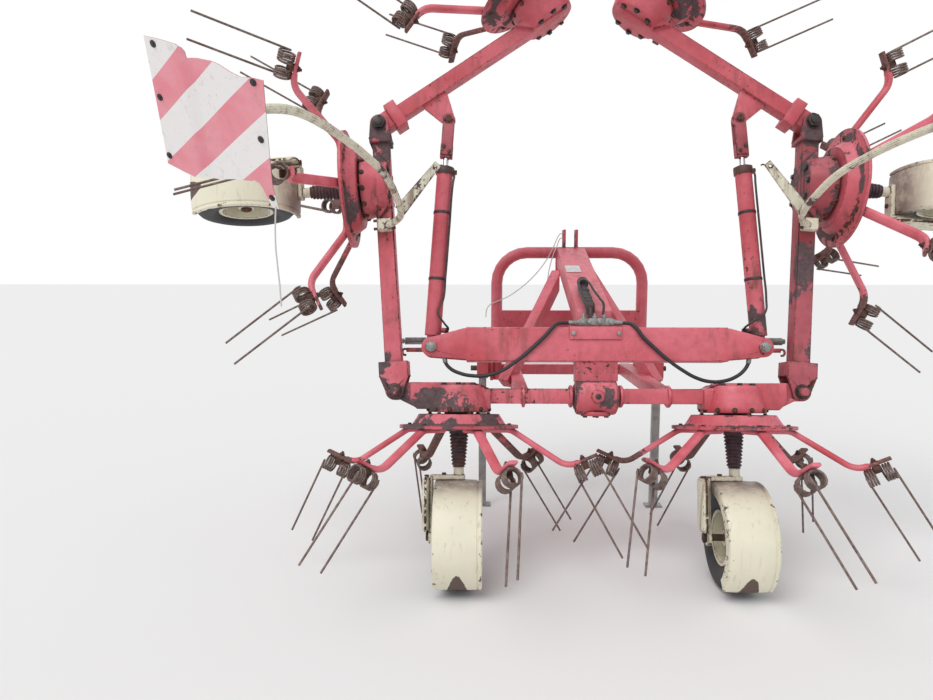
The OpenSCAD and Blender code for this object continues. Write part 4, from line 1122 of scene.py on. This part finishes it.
# The cords' routes in millimetres from the rotors' line, their bodies and the nodes they stand for
CORDS = {
    "hose_left": (
        (-78, 47, 1063), (-100, 47, 1063), (-122, 42, 1063), (-142, 33, 1063), (-163, 19, 1060), (-184, 8, 1044), (-206, 2, 1018),
        (-240, -1, 985), (-288, -9, 942), (-336, -15, 905), (-388, -16, 872), (-446, -12, 853), (-503, -5, 850), (-556, 4, 859),
        (-596, 12, 878), (-616, 17, 903), (-622, 23, 934),
    ),
    "hose_right": (
        (78, 47, 1063), (95, 47, 1063), (112, 43, 1063), (128, 34, 1062), (144, 21, 1058), (161, 9, 1042), (180, 2, 1014),
        (225, -4, 970), (286, -14, 916), (340, -16, 878), (400, -14, 845), (460, -8, 829), (515, -1, 831), (562, 7, 846),
        (598, 14, 872), (616, 18, 902), (622, 23, 934),
    ),
    "rope_long": (
        (-38, 975, 1460), (-48, 975, 1460), (-58, 973, 1455), (-67, 968, 1443), (-76, 964, 1424), (-90, 957, 1392),
        (-113, 950, 1346), (-142, 948, 1300), (-176, 948, 1256), (-212, 948, 1218), (-250, 950, 1184), (-286, 954, 1156),
        (-322, 960, 1132), (-356, 965, 1115), (-390, 966, 1101), (-420, 968, 1087), (-438, 970, 1066), (-444, 972, 1042),
        (-445, 972, 1018),
    ),
    "rope_short": (
        (-38, 975, 1436), (-48, 975, 1436), (-58, 971, 1429), (-65, 962, 1415), (-71, 949, 1400), (-80, 938, 1382), (-90, 930, 1360),
        (-99, 926, 1334), (-107, 925, 1306), (-114, 925, 1276), (-119, 925, 1246), (-122, 925, 1216), (-124, 925, 1186), (-124, 925, 1158),
    ),
    "board_string": (
        (-1087, -743, 1474), (-1088, -744, 1458), (-1089, -745, 1434), (-1090, -746, 1410), (-1090, -747, 1386), (-1090, -747, 1362),
        (-1089, -747, 1338), (-1087, -747, 1314), (-1085, -748, 1290), (-1083, -748, 1266), (-1081, -747, 1242), (-1080, -747, 1218),
        (-1079, -746, 1196), (-1078, -746, 1174),
    ),
}


class TEDDER_OT_cords(bpy.types.Operator):
    """Hydraulic hoses with their ferrules, pull ropes and the board's string"""

    bl_idname = "tedder.cords"
    bl_label = "Hoses and ropes"

    def ferrules(self, name, points):
        """Crimped sleeves and nuts at both ends of a hose."""
        made = []
        for end, inner in ((points[0], points[1]), (points[-1], points[-2])):
            way = (Vector(inner) - Vector(end)).normalized()
            nut = round_bar("Nut", Vector(end) - 0.002 * way, Vector(end) + 0.010 * way, 0.0125, 6)
            sleeve = round_bar("Sleeve", Vector(end) + 0.009 * way, Vector(end) + 0.034 * way, 0.0098, 20)
            for part in (nut, sleeve):
                round_edges(part, 0.0012)
            made += [nut, sleeve]
        return smooth(joined(made, name + "_ends"), 40)

    def execute(self, context):
        place = upright()
        for name, route in CORDS.items():
            hose = name.startswith("hose")
            across = sizes().hose if hose else sizes().rope
            points = [tuple(place @ (Vector(point) / 1000)) for point in route]
            obj = line(name + "_cord", points, across / 2, sides=5 if hose else 3)
            settle(obj, BODY_OF[name], paint("hose" if hose else "rope"), [name])
            pieces = []
            if hose:
                pieces = [settle(self.ferrules(name, points), BODY_OF[name], paint("zinc"))]
        return {"FINISHED"}


class TEDDER_OT_locks(bpy.types.Operator):
    """Transport locks: bracket, coil spring on its rod, hooked link"""

    bl_idname = "tedder.locks"
    bl_label = "Transport locks"

    def execute(self, context):
        parts = [
            block("Foot", (0.640, 0.0443, 0.284), (0.664, 0.074, 0.294)), block("Upright", (0.640, 0.058, 0.284), (0.664, 0.074, 0.372)),
            block("Link", (0.660, 0.059, 0.307), (0.786, 0.069, 0.325)),
        ]
        for part in parts:
            round_edges(part, 0.002)
        hook = tube("Hook", [(0.780, 0.064, 0.318), (0.796, 0.064, 0.319), (0.802, 0.064, 0.308), (0.797, 0.064, 0.296), (0.786, 0.064, 0.294)], 0.005)
        rod = round_bar("Rod", (0.655, 0.064, 0.354), (0.802, 0.064, 0.354), 0.006, 20)
        nuts = [round_bar("Nut", (x, 0.064, 0.354), (x + 0.008, 0.064, 0.354), 0.011, 6) for x in (0.630, 0.6655, 0.795)]
        coil = tube("Coil", [
            (0.702 + 0.090 * k / 216, 0.064 + 0.0138 * math.cos(math.tau * k / 12), 0.354 + 0.0138 * math.sin(math.tau * k / 12))
            for k in range(217)
        ], 0.0021, rounded=False, sides=2)
        plates = smooth(joined([*parts, hook], "Lock plates"), 40)
        steel = smooth(joined([rod, *nuts, coil], "Lock steel"), 40)
        for side, sign in SIDES.items():
            place = leaning() @ mirrored(sign)
            settle(copied(plates, f"lock_plates_{side}", place), BODY_OF[f"lock_{side}"], paint("greasy red"), [f"lock_{side}"])
            settle(copied(steel, f"lock_spring_{side}", place), BODY_OF[f"lock_{side}"], paint("zinc"))
        bpy.data.objects.remove(plates)
        bpy.data.objects.remove(steel)
        return {"FINISHED"}


class TEDDER_OT_gearbox(bpy.types.Operator):
    """Middle gearbox: a barrel across the machine with flanged ends, its covers, its bolts and the input shaft"""

    bl_idname = "tedder.gearbox"
    bl_label = "Middle gearbox"

    def execute(self, context):
        quarter = [(0.0895, 0.030), (0.0895, 0.0495), (0.0845, 0.0505), (0.083, 0.064), (0.078, 0.071), (0.070, 0.0735), (0.0, 0.074)]
        outline = [(-x, 0, r) for x, r in quarter] + [(x, 0, r) for x, r in reversed(quarter[:-1])]
        drum = spun("Drum", outline + [(0.0895, 0, 0.012), (-0.0895, 0, 0.012)] + outline[:1], 48, (1, 0, 0))
        drum.data.transform(at(0, -0.004, 0.119))
        neck = round_bar("Neck", (0, 0.045, 0.121), (0, 0.128, 0.121), 0.052, 40)
        edit(neck)
        select(neck, "faces", lambda face: face.normal.y > 0.9)
        bpy.ops.transform.resize(value=(0.77, 1, 0.77), center_override=(0, 0.128, 0.121))
        finish_edit()
        collar = round_bar("Collar", (0, 0.118, 0.121), (0, 0.130, 0.121), 0.047, 40)
        cover = round_bar("Low cover", (0, 0, 0.040), (0, 0, 0.058), 0.060, 40)
        seat = block("Seat", (-0.079, -0.048, 0.150), (0.079, 0.040, 0.1825))
        front = round_bar("Front boss", (0, -0.074, 0.119), (0, -0.084, 0.119), 0.026, 32)
        for part in (neck, collar, cover, seat, front):
            round_edges(part, 0.0025)
        case = smooth(joined([drum, neck, collar, cover, seat, front], "gearbox_case"), 40)
        shaft = round_bar("Shaft", (0, 0.128, 0.121), (0, 0.218, 0.121), 0.01745, 30)
        edit(shaft)
        ribs = lambda face: abs(face.normal.y) < 0.1 and round(math.atan2(face.normal.x, face.normal.z) / math.tau * 30) % 5 in (0, 1)
        select(shaft, "faces", ribs)
        bpy.ops.mesh.extrude_region_shrink_fatten(TRANSFORM_OT_shrink_fatten={"value": -0.002})
        finish_edit()
        bolts = [round_bar("Plug", (0, -0.083, 0.119), (0, -0.092, 0.119), 0.012, 6)]
        for k in range(6):
            turned = Vector((0.050 * math.cos(k * math.tau / 6 + 0.5), 0.050 * math.sin(k * math.tau / 6 + 0.5)))
            bolts.append(round_bar("Cover bolt", (turned.x, turned.y, 0.041), (turned.x, turned.y, 0.034), 0.007, 6))
            for x in (-1, 1):
                bolts.append(round_bar("End bolt", (0.0775 * x, turned.x * 1.1 - 0.004, turned.y * 1.1 + 0.119), (0.0855 * x, turned.x * 1.1 - 0.004, turned.y * 1.1 + 0.119), 0.006, 6))
        for part in bolts:
            round_edges(part, 0.0008)
        steel = smooth(joined([shaft, *bolts], "gearbox_steel"), 40)
        for obj, finish, slot, old in ((case, "greasy red", "red_paint", ["gearbox_center"]), (steel, "grease", "dark_steel", [])):
            obj.data.transform(leaning())
            settle(obj, BODY_OF["gearbox_center"], paint(finish), old)
        return {"FINISHED"}


class TEDDER_OT_fasteners(bpy.types.Operator):
    """Bolts of plates and housings, nuts and cotters of the hinge pins"""

    bl_idname = "tedder.fasteners"
    bl_label = "Bolts and pins"

    def bolt(self, radius):
        """A hexagon head on its washer, standing on the XY plane."""
        washer = round_bar("Washer", (0, 0, -0.001), (0, 0, 0.002), radius * 1.4, 20)
        head = round_bar("Head", (0, 0, 0.0015), (0, 0, radius * 0.95), radius, 6)
        for part in (washer, head):
            round_edges(part, 0.0007, segments=1)
        return smooth(joined([washer, head], "Bolt"), 40)

    def pin_end(self, radius):
        """Washer, castle nut and cotter on a pin's end that points along Z."""
        washer = round_bar("Washer", (0, 0, -0.001), (0, 0, 0.003), radius * 1.55, 28)
        nut = round_bar("Nut", (0, 0, 0.0025), (0, 0, 0.003 + radius * 0.8), radius * 1.4, 6)
        end = round_bar("End", (0, 0, 0.002), (0, 0, 0.003 + radius * 1.15), radius * 0.8, 20)
        for part in (washer, nut, end):
            round_edges(part, 0.0012)
        high = 0.003 + radius
        cotter = tube("Cotter", [
            (-radius * 1.2, 0.001, high), (radius * 1.05, 0.001, high), (radius * 1.3, 0.004, high - 0.004), (radius * 1.35, 0.010, high - 0.008)
        ], 0.0018, sides=1)
        return smooth(joined([washer, nut, end, cotter], "Pin end"), 40)

    def execute(self, context):
        small, large = self.bolt(0.0078), self.bolt(0.0105)
        pin, big_pin = self.pin_end(0.014), self.pin_end(0.020)
        spots = {}

        def put_at(kind, body, place):
            spots.setdefault((kind, body), []).append(place)
        for side, sign in SIDES.items():
            for place in PLACES:
                rotor, node = at_rotor(side, place), f"rotor_{side}_{place}"
                first, _ = ARM_TURN[side, place]
                for k in range(6):
                    spoke = rotor @ turn(math.radians(first + 60 * k), "Z")
                    put_at("small", BODY_OF[node], spoke @ at(0.122, 0, 0.047))
                    put_at("small", BODY_OF[node], spoke @ at(0.208, 0, 0.003))
                housing = {1: f"frame_{side}", 2: f"wing_{side}", 3: f"tip_{side}"}[place]
                for angle in (48, 90, 132, 228, 270, 312):
                    put_at("large", BODY_OF[housing], rotor @ turn(math.radians(angle), "Z") @ at(0.088, 0, 0.165))
                for angle in range(15, 360, 30):
                    put_at("small", BODY_OF[housing], rotor @ turn(math.radians(angle), "Z") @ at(0.128, 0, 0.066) @ turn(math.radians(90), "Y"))
            for frame_of, u, body, out, kind in (
                (leaning(), 0.821, f"wing_{side}", 0.0513, "big_pin"), (on_wing(sign), 1.941, f"tip_{side}", 0.0513, "big_pin"),
                (leaning(), 0.673, "main_beam", None, "pin"),
            ):
                up = 0.320 if kind == "pin" else layout().hinge_up
                front, back = (-0.068, 0.056) if kind == "pin" else (-out, out)
                place = frame_of @ mirrored(sign) @ at(u, 0, up)
                put_at(kind, BODY_OF[body], place @ at(0, front, 0) @ turn(math.radians(90), "X"))
                put_at(kind, BODY_OF[body], place @ at(0, back, 0) @ turn(math.radians(-90), "X"))
        for (kind, body), places in spots.items():
            pattern = {"small": small, "large": large, "pin": pin, "big_pin": big_pin}[kind]
            made = joined([copied(pattern, "part", place) for place in places], f"{kind}_bolts_{body}")
            settle(made, body, paint({"small": "rust", "large": "grease", "pin": "zinc", "big_pin": "grease"}[kind]))
        for pattern in (small, large, pin, big_pin):
            bpy.data.objects.remove(pattern)
        return {"FINISHED"}


class TEDDER_OT_hydraulics(bpy.types.Operator):
    """Fittings of the valve block, pipes of the cylinders, the blank plate on the mast"""

    bl_idname = "tedder.hydraulics"
    bl_label = "Valve fittings and pipes"

    def execute(self, context):
        lean = leaning()
        plates = [
            block("Plate", (-0.111, -0.0640, 0.3513), (0.101, -0.0563, 0.4093)),
            block("Shelf", (-0.111, -0.0640, 0.4013), (0.101, -0.012, 0.4093)),
        ]
        body = [
            block("Block", (-0.070, -0.050, 0.4083), (0.070, -0.018, 0.4353)),
            *[block("Section", (x - 0.0145, -0.0525, 0.4098), (x + 0.0145, -0.0155, 0.4378)) for x in (-0.050, -0.016, 0.018, 0.052)],
            round_bar("Spool", (-0.080, -0.034, 0.4223), (0.080, -0.034, 0.4223), 0.012, 28),
            round_bar("Cap nut", (-0.005, -0.034, 0.433), (-0.005, -0.034, 0.4493), 0.013, 6),
            round_bar("Relief nut", (0.034, -0.034, 0.433), (0.034, -0.034, 0.4553), 0.009, 6),
        ]
        for part in (*plates, *body):
            round_edges(part, 0.0015)
        for parts, name, finish, slot in ((plates, "valve_plate", "red", "red_paint"), (body, "valve_body", "zinc", "galvanised")):
            obj = joined(parts, name)
            obj.data.transform(lean)
            settle(smooth(obj, 40), BODY_OF["valve_block"], paint(finish), ["valve_block"] if name == "valve_body" else [])
        slope = math.atan2(1202.5 - 1119.4, 330 - 66)
        pilot = [block("Pilot", (-0.015, 0, -0.015), (0.015, math.hypot(0.264, 0.0831), 0.015))]
        pilot += [block("Rib", (-0.0165, y, -0.0165), (0.0165, y + 0.018, 0.0165)) for y in (0.012, 0.09, 0.18, 0.235)]
        link = block("Link", (-0.008, 0, -0.008), (0.008, 0.058, 0.008))
        for part in (*pilot, link):
            round_edges(part, 0.0025)
        for part in pilot:
            part.data.transform(at(-0.018, 0.066, 1.1194) @ turn(slope, "X"))
        link.data.transform(at(-0.020, 0.046, 1.072) @ turn(math.atan2(52, 26), "X"))
        cap = [
            round_bar("Cap", (0, 0, 0), (0, 0, 0.040), 0.023, 32), round_bar("Cap rim", (0, 0, 0.030), (0, 0, 0.037), 0.0245, 32),
            round_bar("Cap knob", (0, 0, 0.038), (0, 0, 0.046), 0.009, 6),
        ]
        for part in cap:
            round_edges(part, 0.002)
            part.data.transform(at(-0.016, 0.330, 1.2105) @ turn(math.radians(-72), "X"))
        obj = joined([*pilot, link, *cap], "pilot_body")
        obj.data.transform(upright())
        settle(smooth(obj, 40), BODY_OF["valve_block"], paint("grease"))
        fittings = []
        for u in (-0.055, -0.030, 0.012, 0.058):
            fittings.append(round_bar("Plug", (u, -0.0505, 0.4225), (u, -0.062, 0.4225), 0.009, 6))
        for u in (-0.050, -0.005, 0.034):
            fittings.append(round_bar("Nut", (u, -0.034, 0.434), (u, -0.034, 0.4465), 0.0105, 6))
            fittings.append(round_bar("Stud", (u, -0.034, 0.440), (u, -0.034, 0.4585), 0.0055, 16))
        for u in (-0.095, 0.089):
            fittings.append(round_bar("Plate bolt", (u, -0.0640, 0.374), (u, -0.0715, 0.374), 0.0095, 6))
        for part in fittings:
            round_edges(part, 0.001)
        obj = joined(fittings, "valve_fittings")
        obj.data.transform(lean)
        settle(smooth(obj, 40), BODY_OF["valve_block"], paint("zinc"))
        up = upright()
        pipes = [
            tube("Pipe 1", [tuple(up @ (Vector(p) / 1000)) for p in (
                (-40, 8, 1098), (-44, 14, 1128), (-50, 60, 1152), (-52, 150, 1178), (-48, 240, 1206), (-38, 300, 1226), (-24, 330, 1230))], 0.005),
            tube("Pipe 2", [tuple(up @ (Vector(p) / 1000)) for p in (
                (22, 8, 1100), (26, 20, 1136), (20, 80, 1160), (8, 170, 1190), (2, 260, 1218), (-2, 318, 1228))], 0.005),
        ]
        settle(smooth(joined(pipes, "pilot_pipes"), 50), BODY_OF["valve_block"], paint("hose"))
        plate = block("mast_plate", (-0.035, -0.0505, 0.0), (0.035, 0.0505, 0.0015))
        round_edges(plate, 0.0005)
        rivets = [primitive("uv_sphere", "Rivet", segments=12, ring_count=8, radius=0.0035, location=(0, y, 0.0012)) for y in (-0.043, 0.043)]
        plate = joined([plate, *rivets], "mast_plate")
        plate.data.transform(up @ at(-0.029, 0.6145, 1.2775) @ turn(math.atan2(30, 97), "X"))
        settle(smooth(plate, 40), BODY_OF["mast"], paint("plate"))
        for side, sign in SIDES.items():
            cylinder = leaning() @ mirrored(sign) @ at(0.673, -0.006, 0.320) @ turn(math.radians(-93.8525), "Y")
            back = -sign
            pipe = tube("Pipe", [
                (0.075, 0, 0.058), (0.082, -0.012, 0.062), (0.100, -0.040, 0.046), (0.140, -0.043, 0.018 * back), (0.200, -0.030, 0.034 * back),
                (0.300, -0.026, 0.036 * back), (0.500, -0.024, 0.037 * back), (0.690, -0.022, 0.038 * back), (0.722, -0.016, 0.041 * back),
                (0.744, -0.004, 0.038 * back)], 0.0045)
            union = round_bar("Union", (0.075, 0, 0.050), (0.075, 0, 0.064), 0.0125, 6)
            banjo = round_bar("Banjo", (0.744, 0, 0.034 * back), (0.744, 0, 0.050 * back), 0.0105, 6)
            bands = [round_bar("Band", (x, 0, 0), (x + 0.012, 0, 0), 0.0362, 40) for x in (0.28, 0.56)]
            for part in (union, banjo, *bands):
                round_edges(part, 0.001)
            made = joined([pipe, union, banjo, *bands], f"barrel_pipe_{side}")
            made.data.transform(cylinder)
            if sign < 0:
                made.data.flip_normals()
            settle(smooth(made, 40), BODY_OF[f"barrel_{side}"], paint("grease"))
            rod = round_bar("rod_bar", (0.090, 0, 0), (0.810, 0, 0), 0.012, 40)
            round_edges(rod, 0.001)
            fork = [block("Fork block", (0.8027, -0.0163, -0.026), (0.8587, 0.0163, 0.026))]
            for y in (0.015, -0.023):
                blade = joined([block("Blade", (0.8127, y, -0.024), (0.9667, y + 0.008, 0.024)), round_bar("Eye", (0.9667, y, 0), (0.9667, y + 0.008, 0), 0.024, 36)], "Blade")
                fork.append(blade)
            for part in fork:
                round_edges(part, 0.0015)
            steel = [round_bar("Strap bolt", (x, -0.030, z), (x, 0.030, z), 0.0085, 6) for x, z in ((0.826, 0.012), (0.846, -0.012))]
            steel.append(round_bar("Eye pin", (0.9667, -0.031, 0), (0.9667, 0.031, 0), 0.014, 28))
            rings = [round_bar("Wiper", (0.7605, 0, 0), (0.7665, 0, 0), 0.024, 32), round_bar("Head", (0.7290, 0, 0), (0.7600, 0, 0), 0.0388, 44)]
            for part in (*steel, *rings):
                round_edges(part, 0.001)
            for parts, name, of, finish, slot, old in (
                ([rod], "rod_bar", "rod", "chrome", "chrome_rod", [f"rod_{side}"]), (fork, "rod_fork", "rod", "fork red", "red_paint", []),
                (steel, "rod_bolts", "rod", "rust", "bare_steel", []), (rings, "barrel_rings", "barrel", "grease", "dark_steel", []),
            ):
                made = joined(parts, f"{name}_{side}")
                made.data.transform(cylinder)
                if sign < 0:
                    made.data.flip_normals()
                settle(smooth(made, 40), BODY_OF[f"{of}_{side}"], paint(finish), old)
        return {"FINISHED"}


class TEDDER_PT_panel(bpy.types.Panel):
    """The steps that dress the tedder, in their order"""

    bl_idname = "TEDDER_PT_panel"
    bl_label = "Hay Tedder"
    bl_space_type = "VIEW_3D"
    bl_region_type = "UI"
    bl_category = "Tedder"

    def draw(self, context):
        for step in STEPS:
            self.layout.operator(f"tedder.{step}")
        for group in ("tedder_layout", "tedder_sizes", "tedder_colours"):
            box = self.layout.box()
            settings = getattr(context.scene, group)
            for key in settings.bl_rna.properties.keys():
                if key not in ("rna_type", "name"):
                    box.prop(settings, key)


STEPS = ("stage", "steelwork", "gearbox", "rotors", "arms", "wheels", "legs", "boards", "locks", "cords", "hydraulics", "fasteners")
CLASSES = (
    TedderLayout, TedderSizes, TedderColours,
    TEDDER_OT_stage, TEDDER_OT_steelwork, TEDDER_OT_rotors, TEDDER_OT_arms, TEDDER_OT_wheels, TEDDER_OT_legs,
    TEDDER_OT_boards, TEDDER_OT_locks, TEDDER_OT_cords, TEDDER_OT_hydraulics, TEDDER_OT_gearbox,
    TEDDER_OT_fasteners, TEDDER_PT_panel,
)


def register():
    for cls in CLASSES:
        bpy.utils.register_class(cls)
    bpy.types.Scene.tedder_layout = bpy.props.PointerProperty(type=TedderLayout)
    bpy.types.Scene.tedder_sizes = bpy.props.PointerProperty(type=TedderSizes)
    bpy.types.Scene.tedder_colours = bpy.props.PointerProperty(type=TedderColours)


def unregister():
    for name in ("tedder_layout", "tedder_sizes", "tedder_colours"):
        delattr(bpy.types.Scene, name)
    for cls in reversed(CLASSES):
        bpy.utils.unregister_class(cls)


def main():
    register()
    for step in STEPS:
        getattr(bpy.ops.tedder, step)()


if __name__ == "__main__":
    main()
